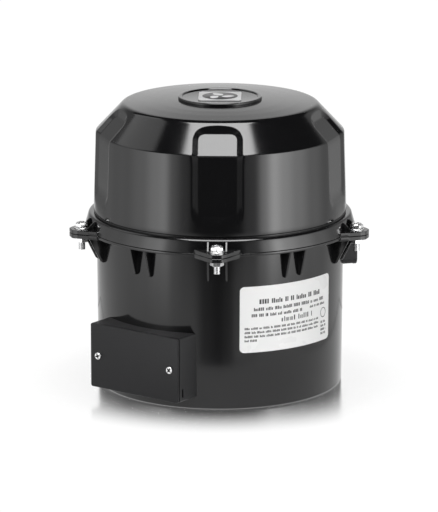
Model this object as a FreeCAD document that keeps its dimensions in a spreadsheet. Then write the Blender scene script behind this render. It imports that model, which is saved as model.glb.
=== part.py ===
"""Air blower for a spa: a canister and a domed lid clamped together round a two-stage fan motor.

Millimetres, +Z up. The origin is the centre of the outlet socket's mouth, in the plane of the base. Angles
round the object are counted from -Y towards +X; clamps stand every 72 degrees, from 0."""

import FreeCAD, Part
import math
import os
import Sketcher
from FreeCAD import Placement, Rotation, Vector

doc = FreeCAD.newDocument("AirBlower")
sheet = doc.addObject("Spreadsheet::Sheet", "Sizes")

# ---- driving dimensions ---------------------------------------------------------------------------------

SIZES = {
    # canister
    "base_radius": 114.3,
    "top_radius": 115.4,
    "flange_low": 146.7,
    "flange_high": 149.3,
    "flange_radius": 126.0,
    "wall": 3.0,
    "floor_thickness": 3.5,
    "base_rounding": 2.0,
    "ledge_height": 141.0,
    "ledge_radius": 106.5,
    "seal_radius": 114.2,
    "seal_width": 3.6,
    "seal_depth": 1.8,
    "outlet_radius": 30.2,
    "outlet_depth": 38.0,
    "outlet_wall": 3.8,
    # ribs, ears and bolts
    "rib_offset": 8.4,
    "rib_thickness": 2.0,
    "rib_reach": 125.5,
    "clamp_rib_reach": 130.5,
    "rib_low": 121.2,
    "ear_half_width": 21.0,
    "ear_tip": 147.0,
    "ear_low": 145.5,
    "lid_ear_high": 153.3,
    "bolt_circle": 133.7,
    "bolt_radius": 3.1,
    "bolt_low": 133.2,
    "bolt_hole_radius": 3.5,
    "hex_corner": 6.4,
    "head_height": 4.0,
    "head_dome": 1.3,
    "washer_radius": 7.0,
    "washer_thickness": 0.8,
    "nut_height": 4.9,
    "nut_bore": 3.2,
    # lid
    "joint_gap": 0.3,
    "lid_seat_height": 268.0,
    "lid_seat_radius": 39.9,
    "crown_edge_radius": 90.6,
    "crown_edge_height": 264.7,
    "shoulder_radius": 115.7,
    "shoulder_height": 238.0,
    "skirt_radius": 118.0,
    "skirt_height": 163.8,
    "groove_radius": 116.9,
    "rim_high": 162.0,
    "rim_radius": 122.5,
    "recess_floor": 113.0,
    "recess_half_width": 17.0,
    "recess_low": 182.5,
    "recess_break": 236.5,
    "recess_slope_length": 24.2,
    "recess_inner_corner": 6.0,
    "recess_outer_corner": 9.0,
    # how far a recess's sides lean out for each millimetre of its depth
    "recess_wall_flare": 6.7 / 1.6,
    "recess_foot_flare": 7.5 / 4.7,
    "recess_cone_flare": 6.7 / 1.05,
    "recess_top_flare": 6.9 / 2.6,
    # badge and label
    "medallion_radius": 39.0,
    "medallion_height": 2.6,
    "inset_side": 39.5,
    "label_half_width": 50.1,
    "label_low": 53.2,
    "label_high": 115.5,
    "label_thickness": 0.25,
    # junction box
    "box_half_width": 50.9,
    "box_low": 11.3,
    "box_high": 71.8,
    "box_front": 127.7,
    "box_wall": 2.5,
    "cover_thickness": 2.6,
    "cover_screw_spacing": 83.34,
    "cover_screw_radius": 1.75,
    "conduit_radius": 9.4,
    "conduit_margin": 1.4,
    "grommet_height": 41.0,
    "grommet_bore": 4.6,
    # intake
    "hood_half_width": 30.0,
    "hood_front": 125.6,
    "hood_low": 107.0,
    "hood_wall": 2.4,
    "duct_inner": 88.0,
    "duct_low": 104.0,
    # fan and motor
    "plate_thickness": 3.0,
    "plate_hole": 60.0,
    "motor_gasket_thickness": 3.0,
    "mount_flange": 78.0,
    "mount_circle": 74.5,
    "bracket_flange": 3.0,
    "shell_radius": 71.0,
    "shell_height": 56.0,
    "shell_sheet": 1.2,
    "eye_radius": 24.0,
    "impeller_radius": 64.0,
    "impeller_height": 13.0,
    "shaft_radius": 4.0,
    "fit_gap": 0.02,
    "running_gap": 0.04,
    "bearing_radius": 11.0,
    "bearing_height": 7.0,
    "stator_radius": 46.0,
    "stator_bore": 24.2,
    "stator_low": 90.0,
    "stator_high": 124.0,
    "armature_radius": 23.5,
    "commutator_radius": 13.0,
    "commutator_low": 70.0,
    "commutator_high": 82.0,
    "brush_height": 9.2,
    "brush_width": 6.2,
    "brush_length": 16.0,
    "brush_clearance": 0.15,
    "holder_sheet": 0.8,
    "holder_reach": 42.0,
    "through_bolt_circle": 42.5,
}

for row, (alias, number) in enumerate(SIZES.items(), 1):
    sheet.set(f"A{row}", alias)
    sheet.set(f"B{row}", str(number))
    sheet.setAlias(f"B{row}", alias)
doc.recompute()


class Size:
    """A number together with the sheet expression that gives it."""

    def __init__(self, number, text):
        self.number, self.text = number, text

    def __add__(self, other):
        other = size(other)
        return Size(self.number + other.number, f"({self.text} + {other.text})")

    def __sub__(self, other):
        other = size(other)
        return Size(self.number - other.number, f"({self.text} - {other.text})")

    def __mul__(self, factor):
        factor = size(factor)
        return Size(self.number * factor.number, f"{self.text} * {factor.text}")

    def __truediv__(self, divisor):
        divisor = size(divisor)
        return Size(self.number / divisor.number, f"{self.text} / {divisor.text}")

    def __neg__(self):
        return Size(-self.number, f"(0 - {self.text})")

    def __radd__(self, other):
        return size(other) + self

    def __rsub__(self, other):
        return size(other) - self


def size(value):
    """A Size as it is, an alias of the sheet as a Size, or a plain number as a Size."""
    if isinstance(value, Size):
        return value
    if isinstance(value, str):
        return Size(SIZES[value], f"Sizes.{value}")
    return Size(value, f"({value:.6f})")


class Cells:
    """cell.NAME is the Size of the sheet's cell of that name."""

    def __getattr__(self, alias):
        return size(alias)


cell = Cells()


def bind(thing, **sizes):
    """Ties properties of an object to the sheet."""
    for name, value in sizes.items():
        thing.setExpression(name.replace("__", "."), size(value).text)
    return thing


def place(thing, x=0, y=0, z=0, turn=0, rotation=None):
    """Stands an object at x, y, z, turned about Z unless another rotation is given."""
    rotation = rotation or Rotation(Vector(0, 0, 1), turn)
    x, y, z = size(x), size(y), size(z)
    thing.Placement = Placement(Vector(x.number, y.number, z.number), rotation)
    bind(thing, Placement__Base__x=x, Placement__Base__y=y, Placement__Base__z=z)
    return thing


# ---- shapes that the pieces are built from --------------------------------------------------------------

CLAMPS = 5
RIB_PAIRS = 10
INTAKE_TURN = 108  # where the intake hood stands, between two clamps
LABEL_TURN = 36
BOX_TURN = -36
WIRE_TURN = -22  # where the leads go through the wall, behind the right end of the junction box
MOUNT_TURN = 45  # the first of the fan motor's four mounting screws
PLATE_TURN = 20  # the first of the partition's four screws
WIRE_HOLE = 6.05
BOX_SCREW_SPOTS = [(32 * side, height) for side in (1, -1) for height in (20, 60)]

OUTWARD = Rotation(Vector(1, 0, 0), 90)  # a sketch's X and Y become X and Z; a cylinder's axis becomes -Y
SIDEWAYS = Rotation(Vector(0, 1, 0), 90)  # a cylinder's axis becomes +X


def cylinder(radius, height, **where):
    thing = doc.addObject("Part::Cylinder", "Cylinder")
    return place(bind(thing, Radius=radius, Height=height), **where)


def cone(low_radius, high_radius, height, **where):
    thing = doc.addObject("Part::Cone", "Cone")
    return place(bind(thing, Radius1=low_radius, Radius2=high_radius, Height=height), **where)


def block(low_x, high_x, low_y, high_y, low_z, high_z):
    thing = doc.addObject("Part::Box", "Box")
    bind(thing, Length=size(high_x) - low_x, Width=size(high_y) - low_y, Height=size(high_z) - low_z)
    return place(thing, low_x, low_y, low_z)


def cut(base, *tools):
    """base with the tools taken out of it."""
    thing = doc.addObject("Part::Cut", "Cut")
    thing.Base = base
    thing.Tool = tools[0] if len(tools) == 1 else fuse(*tools)
    return thing


def fuse(*things):
    thing = doc.addObject("Part::MultiFuse", "Union")
    thing.Shapes = list(things)
    return thing


def common(*things):
    thing = doc.addObject("Part::MultiCommon", "Shared")
    thing.Shapes = list(things)
    return thing


def set_of(things):
    """Several separate solids kept together."""
    thing = doc.addObject("Part::Compound", "Set")
    thing.Links = list(things)
    return thing


def tube(outer, inner, low, high, **where):
    """A round tube standing on Z from low to high."""
    height = size(high) - low
    bore = cylinder(inner, height + 2, z=size(low) - 1, **where)
    return cut(cylinder(outer, height, z=low, **where), bore)


def add_outline(sketch, corners):
    """Draws a closed outline whose corners, (x, y) or (x, y, rounding), are all tied to the sheet."""
    count = len(corners)
    spots = [Vector(size(c[0]).number, size(c[1]).number, 0) for c in corners]
    trims = []
    for i, corner in enumerate(corners):
        towards = [(spots[j % count] - spots[i]).normalize() for j in (i - 1, i + 1)]
        opening = towards[0].getAngle(towards[1])
        rounding = size(corner[2]).number if len(corner) > 2 else 0
        trims.append((towards, opening, rounding, rounding / math.tan(opening / 2) if rounding else 0))
    lines = []
    for i in range(count):
        start = spots[i] + trims[i][0][1] * trims[i][3]
        after = (i + 1) % count
        end = spots[after] + trims[after][0][0] * trims[after][3]
        if (spots[after] - spots[i]).Length < trims[i][3] + trims[after][3] - 1e-6:
            raise ValueError(f"the roundings of corners {i} and {after} run into each other")
        lines.append(sketch.addGeometry(Part.LineSegment(start, end)))
    for i, corner in enumerate(corners):
        before, line = lines[i - 1], lines[i]
        if trims[i][2]:
            towards, opening, rounding, trim = trims[i]
            middle = (towards[0] + towards[1]).normalize()
            centre = spots[i] + middle * (rounding / math.sin(opening / 2))
            ends = [spots[i] + towards[0] * trim, centre - middle * rounding, spots[i] + towards[1] * trim]
            arc = Part.Arc(*ends)
            turned = (ends[1] - ends[0]).cross(ends[2] - ends[1]).z < 0
            rounded = sketch.addGeometry(arc)
            first, last = (2, 1) if turned else (1, 2)
            point = sketch.addGeometry(Part.Point(spots[i]), True)
            sketch.addConstraint(Sketcher.Constraint("Tangent", before, 2, rounded, first))
            sketch.addConstraint(Sketcher.Constraint("Tangent", rounded, last, line, 1))
            sketch.addConstraint(Sketcher.Constraint("PointOnObject", point, 1, before))
            sketch.addConstraint(Sketcher.Constraint("PointOnObject", point, 1, line))
            datum(sketch, f"round_{i}", Sketcher.Constraint("Radius", rounded, rounding), corner[2])
        else:
            point = line
            sketch.addConstraint(Sketcher.Constraint("Coincident", before, 2, line, 1))
        for name, kind, axis, at in (("x", "DistanceX", -2, 0), ("y", "DistanceY", -1, 1)):
            where = size(corner[at]).number
            if abs(where) < 1e-9:
                sketch.addConstraint(Sketcher.Constraint("PointOnObject", point, 1, axis))
            else:
                ruler = Sketcher.Constraint(kind, -1, 1, point, 1, where)
                datum(sketch, f"{name}_{i}", ruler, corner[at])
    return sketch


def datum(sketch, name, constraint, value):
    """Adds a dimension to a sketch and ties it to the sheet."""
    number = sketch.addConstraint(constraint)
    sketch.renameConstraint(number, name)
    sketch.setExpression(f"Constraints.{name}", size(value).text)


def outline(corners, **where):
    return place(add_outline(doc.addObject("Sketcher::SketchObject", "Outline"), corners), **where)


def turned(corners):
    """A solid of revolution about Z; its corners are (radius, height)."""
    thing = doc.addObject("Part::Revolution", "Turned")
    thing.Source = outline(corners, rotation=OUTWARD)
    thing.Axis, thing.Base, thing.Angle, thing.Solid = Vector(0, 0, 1), Vector(0, 0, 0), 360, True
    return thing


def extruded(sketch, direction, length, both_ways=False):
    """A sketch pushed out along a direction, by length in all."""
    thing = doc.addObject("Part::Extrusion", "Extruded")
    thing.Base, thing.DirMode, thing.Dir = sketch, "Custom", Vector(*direction)
    thing.Solid, thing.Symmetric = True, both_ways
    return bind(thing, LengthFwd=length)


def raised(corners, low, high):
    """A plate or bar with the outline's (x, y) corners from height low to height high."""
    return extruded(outline(corners, z=low), (0, 0, 1), size(high) - low)


def fronted(corners, near, far):
    """A panel with the outline's (x, z) corners, from distance near to far out along -Y."""
    return extruded(outline(corners, y=-size(near), rotation=OUTWARD), (0, -1, 0), size(far) - near)


def rectangle(half_width, low, high, rounding=None, high_rounding=None):
    """The corners of a rectangle about X = 0."""
    extra = [(rounding,) if rounding is not None else ()] * 2
    extra += [(high_rounding,) if high_rounding is not None else extra[0]] * 2
    places = ((-size(half_width), low), (half_width, low), (half_width, high), (-size(half_width), high))
    return [place + more for place, more in zip(places, extra)]


def hexagon(corner):
    """The corners of a hexagon about the origin, two of them on the X axis."""
    turns = [math.radians(60 * k) for k in range(6)]
    return [(size(corner) * math.cos(a), size(corner) * math.sin(a)) for a in turns]


def wall_cone(offset=0):
    """The space inside the canister's tapered outer wall, grown by offset."""
    return cone(cell.base_radius + offset, cell.top_radius + offset, cell.flange_low)


def spun(thing, turn):
    """Turns a finished piece about the axis of the blower."""
    thing.Placement = Placement(Vector(0, 0, 0), Rotation(Vector(0, 0, 1), turn))
    return thing


def ring_of(count, make, first=0):
    """Several copies of a piece, each made anew and set evenly round Z, the first at an angle."""
    return [spun(set_of([make()]), first + 360 / count * k) for k in range(count)]


pieces = {}


def piece(name, thing):
    """Names a finished sub-part."""
    thing.Label = name
    pieces[name] = thing
    return thing


# ---- PartDesign bodies ----------------------------------------------------------------------------------


class Body:
    """A PartDesign body with the few features that the housings and hardware need."""

    def __init__(self, name):
        self.body = doc.addObject("PartDesign::Body", name)
        self.body.AllowCompound = True

    def sketch(self, role, corners, offset=0):
        sketch = self.body.newObject("Sketcher::SketchObject", "Profile")
        plane = [p for p in self.body.Origin.OriginFeatures if p.Role == role][0]
        sketch.AttachmentSupport, sketch.MapMode = [(plane, "")], "FlatFace"
        sketch.AttachmentOffset = Placement(Vector(0, 0, size(offset).number), Rotation())
        bind(sketch, AttachmentOffset__Base__z=offset)
        return add_outline(sketch, corners)

    def feature(self, kind, sketch, **sizes):
        thing = self.body.newObject(f"PartDesign::{kind}", kind)
        thing.Profile = sketch
        return bind(thing, **sizes)

    def revolve(self, corners):
        sketch = self.sketch("XZ_Plane", corners)
        thing = self.feature("Revolution", sketch)
        thing.ReferenceAxis, thing.Angle = (sketch, ["V_Axis"]), 360
        return thing

    def pad(self, corners, low, high):
        """Material with the outline's (x, y) corners between two heights."""
        return self.feature("Pad", self.sketch("XY_Plane", corners, low), Length=size(high) - low)

    def rib(self, corners, offset, thickness):
        """An upright web with the outline's (y, z) corners, centred on a distance from the YZ plane."""
        sketch = self.sketch("YZ_Plane", corners, size(offset))
        thing = self.feature("Pad", sketch, Length=thickness)
        thing.Midplane = True
        return thing

    def drill(self, radius, distance, low, high):
        """A round hole on -Y at a distance from the axis, between two heights."""
        sketch = self.body.newObject("Sketcher::SketchObject", "Hole")
        plane = [p for p in self.body.Origin.OriginFeatures if p.Role == "XY_Plane"][0]
        sketch.AttachmentSupport, sketch.MapMode = [(plane, "")], "FlatFace"
        sketch.AttachmentOffset = Placement(Vector(0, 0, size(low).number), Rotation())
        bind(sketch, AttachmentOffset__Base__z=low)
        centre = Vector(0, -size(distance).number, 0)
        sketch.addGeometry(Part.Circle(centre, Vector(0, 0, 1), size(radius).number))
        sketch.addConstraint(Sketcher.Constraint("PointOnObject", 0, 3, -2))
        datum(sketch, "radius", Sketcher.Constraint("Radius", 0, size(radius).number), radius)
        ruler = Sketcher.Constraint("DistanceY", -1, 1, 0, 3, -size(distance).number)
        datum(sketch, "distance", ruler, -size(distance))
        thing = self.feature("Pocket", sketch, Length=size(high) - low)
        thing.Reversed = True
        return thing

    def around(self, count, *features):
        """Repeats features round the axis."""
        thing = self.body.newObject("PartDesign::PolarPattern", "Around")
        thing.Originals = list(features)
        axis = [a for a in self.body.Origin.OriginFeatures if a.Role == "Z_Axis"][0]
        thing.Axis, thing.Angle, thing.Occurrences = (axis, [""]), 360, count
        self.body.Tip = thing
        doc.recompute()
        return thing

    def round_rings(self, rounding, *rings):
        """Rounds the circular edges at the given (radius, height) places."""
        doc.recompute()
        base = self.body.Tip
        names = []
        for number, edge in enumerate(base.Shape.Edges, 1):
            curve = edge.Curve
            if not isinstance(curve, Part.Circle):
                continue
            for radius, height in rings:
                apart = abs(curve.Radius - size(radius).number) + abs(curve.Center.z - size(height).number)
                if apart < 0.01:
                    names.append(f"Edge{number}")
        thing = self.body.newObject("PartDesign::Fillet", "Rounding")
        thing.Base = (base, names)
        bind(thing, Radius=rounding)
        self.body.Tip = thing
        doc.recompute()
        return thing


# ---- canister -------------------------------------------------------------------------------------------


def ear_corners():
    """A clamp ear in plan: wide at the flange, narrowing to a rounded tip."""
    half, tip = cell.ear_half_width, cell.ear_tip
    right = [(half, -cell.flange_radius + 6), (half, -cell.flange_radius + 1.5, 2.5), (9.0, -tip + 4.0, 4.0)]
    right.append((5.0, -tip, 4.5))
    return right + [(-size(c[0]),) + c[1:] for c in reversed(right)]


def rib_corners(reach):
    """A web under the flange in side view: a straight slope down to a rounded tip on the wall."""
    wall, low = -cell.top_radius + 1.4, cell.rib_low
    return [(wall, cell.flange_low + 0.5), (-size(reach), cell.flange_low + 0.5),
            (-cell.top_radius - 3.0, low + 1.2, 1.8), (-cell.top_radius - 1.0, low, 1.0), (wall, low)]


def lower_housing():
    shell = Body("CanisterShell")
    inner = cell.top_radius - cell.wall
    seal_out = cell.seal_radius + cell.seal_width
    ledge, rest = cell.ledge_height, cell.ledge_radius
    socket_top = cell.outlet_depth + 4
    shell.revolve([
        (cell.outlet_radius, 0),
        (cell.base_radius, 0),
        (cell.top_radius, cell.flange_low),
        (cell.flange_radius, cell.flange_low),
        (cell.flange_radius, cell.flange_high),
        (seal_out, cell.flange_high),
        (seal_out, cell.flange_high - cell.seal_depth),
        (cell.seal_radius, cell.flange_high - cell.seal_depth),
        (cell.seal_radius, cell.flange_high),
        (inner, cell.flange_high),
        (inner, ledge),
        (rest, ledge),
        (rest, ledge - 3),
        (inner - 0.2, ledge - 9),
        (inner - 1.1, cell.floor_thickness),
        (cell.outlet_radius + cell.outlet_wall, cell.floor_thickness),
        (cell.outlet_radius + cell.outlet_wall, socket_top),
        (cell.outlet_radius - 3.7, socket_top),
        (cell.outlet_radius - 3.7, cell.outlet_depth),
        (cell.outlet_radius, cell.outlet_depth),
    ])
    shell.round_rings(cell.base_rounding, (cell.base_radius, 0))
    webs = [shell.rib(rib_corners(cell.rib_reach), cell.rib_offset * side, cell.rib_thickness)
            for side in (1, -1)]
    shell.around(RIB_PAIRS, *webs)
    webs = [shell.rib(rib_corners(cell.clamp_rib_reach), cell.rib_offset * side, cell.rib_thickness)
            for side in (1, -1)]
    shell.around(CLAMPS, *webs)
    ear = shell.pad(ear_corners(), cell.ear_low, cell.flange_high)
    shell.around(CLAMPS, ear)
    hole = shell.drill(cell.bolt_hole_radius, cell.bolt_circle, cell.ear_low - 1, cell.flange_high + 1)
    shell.around(CLAMPS, hole)
    hood_room = cut(block(-cell.hood_half_width - 1.5, cell.hood_half_width + 1.5, -140, -60,
                          cell.rib_low - 8, cell.flange_low), wall_cone())
    window = block(-18, 18, -140, -90, 111, 131)
    screw_ways = [cylinder(2.0, 40, x=24.5 * side, y=-90, z=124, rotation=OUTWARD) for side in (1, -1)]
    intake = spun(set_of([fuse(hood_room, window, *screw_ways)]), INTAKE_TURN)
    wire_way = cylinder(WIRE_HOLE, 30, y=-100, z=cell.grommet_height, rotation=OUTWARD)
    wire_way = spun(set_of([wire_way]), WIRE_TURN)
    box_ways = [cylinder(2.0, 30, x=across, y=-90, z=up, rotation=OUTWARD) for across, up in BOX_SCREW_SPOTS]
    box_screws = spun(set_of([fuse(*box_ways)]), BOX_TURN)
    plate_ways = ring_of(4, lambda: cylinder(1.5, 8, y=-109.2, z=cell.ledge_height - 4), PLATE_TURN)
    piece("lower_housing", cut(shell.body, intake, wire_way, box_screws, *plate_ways))


def housing_gasket():
    low = cell.flange_high - cell.seal_depth
    outer, inner = cell.seal_radius + cell.seal_width - 0.1, cell.seal_radius + 0.1
    piece("housing_gasket", tube(outer, inner, low, cell.flange_high + 0.2))


# ---- clamp hardware -------------------------------------------------------------------------------------


def clamp_bolt():
    """A hex head with a low dome and a cross recess, on a plain shank."""
    seat = cell.lid_ear_high + cell.washer_thickness
    top = seat + cell.head_height
    head = raised(hexagon(cell.hex_corner), seat, top)
    dome = cone(cell.hex_corner - 1.2, cell.hex_corner - 2.6, cell.head_dome, z=top)
    shank = cylinder(cell.bolt_radius, seat - cell.bolt_low, z=cell.bolt_low)
    low, high = top + cell.head_dome - 2.4, top + cell.head_dome + 1
    cross = fuse(block(-3.0, 3.0, -0.6, 0.6, low, high), block(-0.6, 0.6, -3.0, 3.0, low, high))
    return place(cut(fuse(head, dome, shank), cross), y=-cell.bolt_circle)


def clamp_hardware():
    seat = cell.lid_ear_high
    piece("clamp_bolts", set_of(ring_of(CLAMPS, clamp_bolt)))
    piece("clamp_washers", set_of(ring_of(CLAMPS, lambda: set_of([tube(
        cell.washer_radius, cell.bolt_radius + 0.15, seat, seat + cell.washer_thickness,
        y=-cell.bolt_circle)]))))
    top = cell.ear_low
    low = top - cell.nut_height

    def nut():
        body = raised(hexagon(cell.hex_corner), low, top)
        return place(cut(body, cylinder(cell.nut_bore, 8, z=low - 1)), y=-cell.bolt_circle)

    piece("clamp_nuts", set_of(ring_of(CLAMPS, nut)))


# ---- lid ------------------------------------------------------------------------------------------------


def recess_tool():
    """The space in front of one recess: a flared channel up the wall and another down the cone."""
    half, low, floor = cell.recess_half_width, cell.recess_low, cell.recess_floor
    inner, outer = cell.recess_inner_corner, cell.recess_outer_corner
    depth = 8.0  # how far in front of its floor a channel is drawn; the lid's surface is nearer than that

    def channel(near, far, height, lean):
        """A loft between two outlines on planes that lean back about the recess's break."""
        tilt = math.radians(lean)
        steps = [(0.0, near), (depth, far)]
        loft = doc.addObject("Part::Loft", "Flare")
        loft.Sections = [outline(corners, y=-floor - math.cos(tilt) * out, z=height + math.sin(tilt) * out,
                                 rotation=Rotation(Vector(1, 0, 0), 90 - lean)) for out, corners in steps]
        loft.Solid, loft.Ruled = True, True
        return loft

    past_break = cell.recess_break + 14
    side, end = cell.recess_wall_flare * depth, cell.recess_foot_flare * depth
    wall = channel(rectangle(half, low, past_break, inner, 0.5),
                   rectangle(half + side, low - end, past_break + 4, outer, 0.5), size(0), 0)
    rise = cell.crown_edge_height - cell.shoulder_height
    run = cell.shoulder_radius - cell.crown_edge_radius
    lean = math.degrees(math.atan2(run.number, rise.number))
    reach = cell.recess_slope_length
    side, end = cell.recess_cone_flare * depth, cell.recess_top_flare * depth
    slope = channel(rectangle(half, -30, reach, 0.5, inner),
                    rectangle(half + side, -36, reach + end, 0.5, outer), cell.recess_break, lean)
    return set_of([wall, slope])


def lid_core_tool():
    """The bulge of plastic that keeps the lid's wall thick behind one recess."""
    floor, brk = -(cell.recess_floor - cell.wall), cell.recess_break
    corners = [(floor, 168), (floor, brk - 1.2), (-84.5, brk + 25.9), (-84.5, 290), (-150, 290), (-150, 168)]
    return extruded(outline(corners, rotation=Rotation(Vector(1, 1, 1), 120)), (1, 0, 0), 54, True)


def upper_housing():
    low = cell.flange_high + cell.joint_gap
    shell = Body("LidShell")
    crown = (64.5, 267.02)
    shell.revolve([
        (0, cell.lid_seat_height),
        (cell.lid_seat_radius, cell.lid_seat_height),
        (crown[0], crown[1], 880),
        (cell.crown_edge_radius, cell.crown_edge_height, 7.0),
        (cell.shoulder_radius, cell.shoulder_height, 2.6),
        (cell.skirt_radius, cell.skirt_height),
        (cell.groove_radius, cell.skirt_height - 0.4),
        (cell.groove_radius, cell.rim_high),
        (cell.rim_radius, cell.rim_high, 3.0),
        (cell.flange_radius, low),
        (0, low),
    ])
    core = Body("LidHollow")
    skin = cell.wall
    inner = cell.top_radius - cell.wall + 0.4
    core.revolve([
        (0, cell.lid_seat_height - skin),
        (crown[0] - 1, crown[1] - skin, 400),
        (cell.crown_edge_radius - 1.4, cell.crown_edge_height - skin - 0.2, 4.0),
        (cell.shoulder_radius - skin, cell.shoulder_height - 1.2),
        (cell.skirt_radius - skin, cell.skirt_height),
        (cell.rim_radius - skin, cell.rim_high - skin),
        (cell.rim_radius - skin, low + 3.2),
        (inner, low + 3.2),
        (inner, low - 1),
        (0, low - 1),
    ])
    ears = Body("LidEars")
    ear = ears.pad(ear_corners(), low, cell.lid_ear_high)
    ears.around(CLAMPS, ear)
    root = -cell.skirt_radius - 1.2
    web = [(root, low + 1), (-131.5, low + 1), (-132.0, cell.lid_ear_high),
           (-cell.rim_radius - 1.6, cell.rim_high - 1.6, 1.5), (root, cell.rim_high - 1.0)]
    webs = [ears.rib(web, cell.rib_offset * side, cell.rib_thickness) for side in (1, -1)]
    ears.around(CLAMPS, *webs)
    holes = ring_of(CLAMPS, lambda: cylinder(cell.bolt_hole_radius, 12, y=-cell.bolt_circle, z=low - 2))
    recessed = cut(shell.body, *ring_of(CLAMPS, recess_tool))
    hollow = cut(core.body, *ring_of(CLAMPS, lid_core_tool))
    ears_only = cut(ears.body, cylinder(cell.skirt_radius + 1.0, 30, z=low - 5))
    piece("upper_housing", cut(fuse(cut(recessed, hollow), ears_only), *holes))


def badge():
    seat, radius = cell.lid_seat_height, cell.medallion_radius
    top = seat + cell.medallion_height
    field = top - 1.1
    piece("medallion", turned([
        (0, seat), (radius, seat), (radius, top, 1.0), (radius - 3.4, top, 0.5), (radius - 4.4, field),
        (0, field)]))
    half = cell.inset_side / 2
    piece("nameplate_inset", raised(rectangle(half, -half, half, 3.0), field, field + 0.8))


def rating_label():
    skin = cut(wall_cone(cell.label_thickness + 0.02), wall_cone(0.02))
    panel = fronted(rectangle(cell.label_half_width, cell.label_low, cell.label_high, 4.0), 60, 130)
    piece("rating_label", spun(common(skin, panel), LABEL_TURN))


# ---- junction box ---------------------------------------------------------------------------------------

COVER_RISE = Size(41.55, "(Sizes.box_low + Sizes.box_high) / 2")


def in_box(thing):
    return spun(thing if thing.TypeId == "Part::Compound" else set_of([thing]), BOX_TURN)


def junction_box():
    half, low, high, wall = cell.box_half_width, cell.box_low, cell.box_high, cell.box_wall
    outer = cut(fronted(rectangle(half, low, high, 2.0), 96, cell.box_front), wall_cone(0.02))
    inner = cut(fronted(rectangle(half - wall, low + wall, high - wall, 1.0), 90, 140), wall_cone(wall))
    reach = cell.cover_screw_spacing / 2
    bosses = [cylinder(3.8, cell.box_front - 100, x=reach * side, y=-100, z=COVER_RISE, rotation=OUTWARD)
              for side in (1, -1)]
    bosses = cut(fuse(*bosses), wall_cone(1))
    pilots = [cylinder(cell.cover_screw_radius + 0.15, 14, x=reach * side, y=-(cell.box_front - 13),
                       z=COVER_RISE, rotation=OUTWARD) for side in (1, -1)]
    conduit_y = -(cell.box_front - cell.conduit_radius - cell.conduit_margin)
    conduit = cylinder(cell.conduit_radius, 6, x=-half - 1.5, y=conduit_y, z=COVER_RISE, rotation=SIDEWAYS)
    latch = block(half - 4, half + 1, -(cell.box_front - 3.4), -(cell.box_front - 5.4), low + 4, low + 12)
    wire_way = spun(set_of([cylinder(WIRE_HOLE, 30, y=-100, z=cell.grommet_height, rotation=OUTWARD)]),
                    WIRE_TURN - BOX_TURN)
    screw_ways = [cylinder(1.8, 30, x=across, y=-96, z=up, rotation=OUTWARD)
                  for across, up in BOX_SCREW_SPOTS]
    ground_way = cylinder(1.6, 30, x=-12, y=-100, z=24, rotation=OUTWARD)
    shell = fuse(cut(outer, inner), bosses)
    piece("junction_box", in_box(cut(shell, conduit, latch, wire_way, ground_way, *pilots, *screw_ways)))


def pan_screw(radius, length, head_radius, head_height):
    """A pan head screw with a cross recess, pointing down from a head that sits on Z = 0."""
    shank = cylinder(radius, length, z=-size(length))
    head = turned([(0, 0), (head_radius, 0), (head_radius, head_height, 0.9), (0, head_height)])
    arm, deep, high = head_radius * 0.62, head_height - 1.1, head_height + 1
    cross = [block(-0.45, 0.45, -arm, arm, deep, high), block(-arm, arm, -0.45, 0.45, deep, high)]
    return fuse(shank, cut(head, *cross))


def screw_at(x, y, z, facing, *sizes):
    """A pan head screw with its head's seat at x, y, z and its head towards the facing direction."""
    return place(set_of([pan_screw(*sizes)]), x, y, z, rotation=Rotation(Vector(0, 0, 1), Vector(*facing)))


def junction_trim():
    near = cell.box_front + 0.3
    face = near + cell.cover_thickness
    reach = cell.cover_screw_spacing / 2
    panel = fronted(rectangle(cell.box_half_width, cell.box_low, cell.box_high, 2.0), near, face)
    holes = [cylinder(2.0, 8, x=reach * side, y=-(near - 2), z=COVER_RISE, rotation=OUTWARD)
             for side in (1, -1)]
    piece("junction_cover", in_box(cut(panel, *holes)))
    screws = [screw_at(reach * side, -face, COVER_RISE, (0, -1, 0), cell.cover_screw_radius, 12.0, 3.4, 2.2)
              for side in (1, -1)]
    piece("cover_screws", in_box(set_of(screws)))
    seat = 109.2
    screws = [screw_at(across, -(seat - 4.2), up, (0, 1, 0), 1.6, 9.0, 3.2, 2.0)
              for across, up in BOX_SCREW_SPOTS]
    piece("junction_box_screws", in_box(set_of(screws)))


def wire_grommet():
    """A moulded bush with a flange on each side of the two walls that it goes through."""
    neck = turned([(cell.grommet_bore, 0), (8.0, 0), (8.0, 1.8, 0.6), (6.0, 1.8), (6.0, 8.1), (7.6, 8.1),
                   (7.6, 9.8, 0.6), (cell.grommet_bore, 9.8)])
    bush = place(set_of([neck]), y=-109.2, z=cell.grommet_height, rotation=OUTWARD)
    piece("wire_grommet", spun(set_of([bush]), WIRE_TURN))


# ---- intake ---------------------------------------------------------------------------------------------


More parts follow.
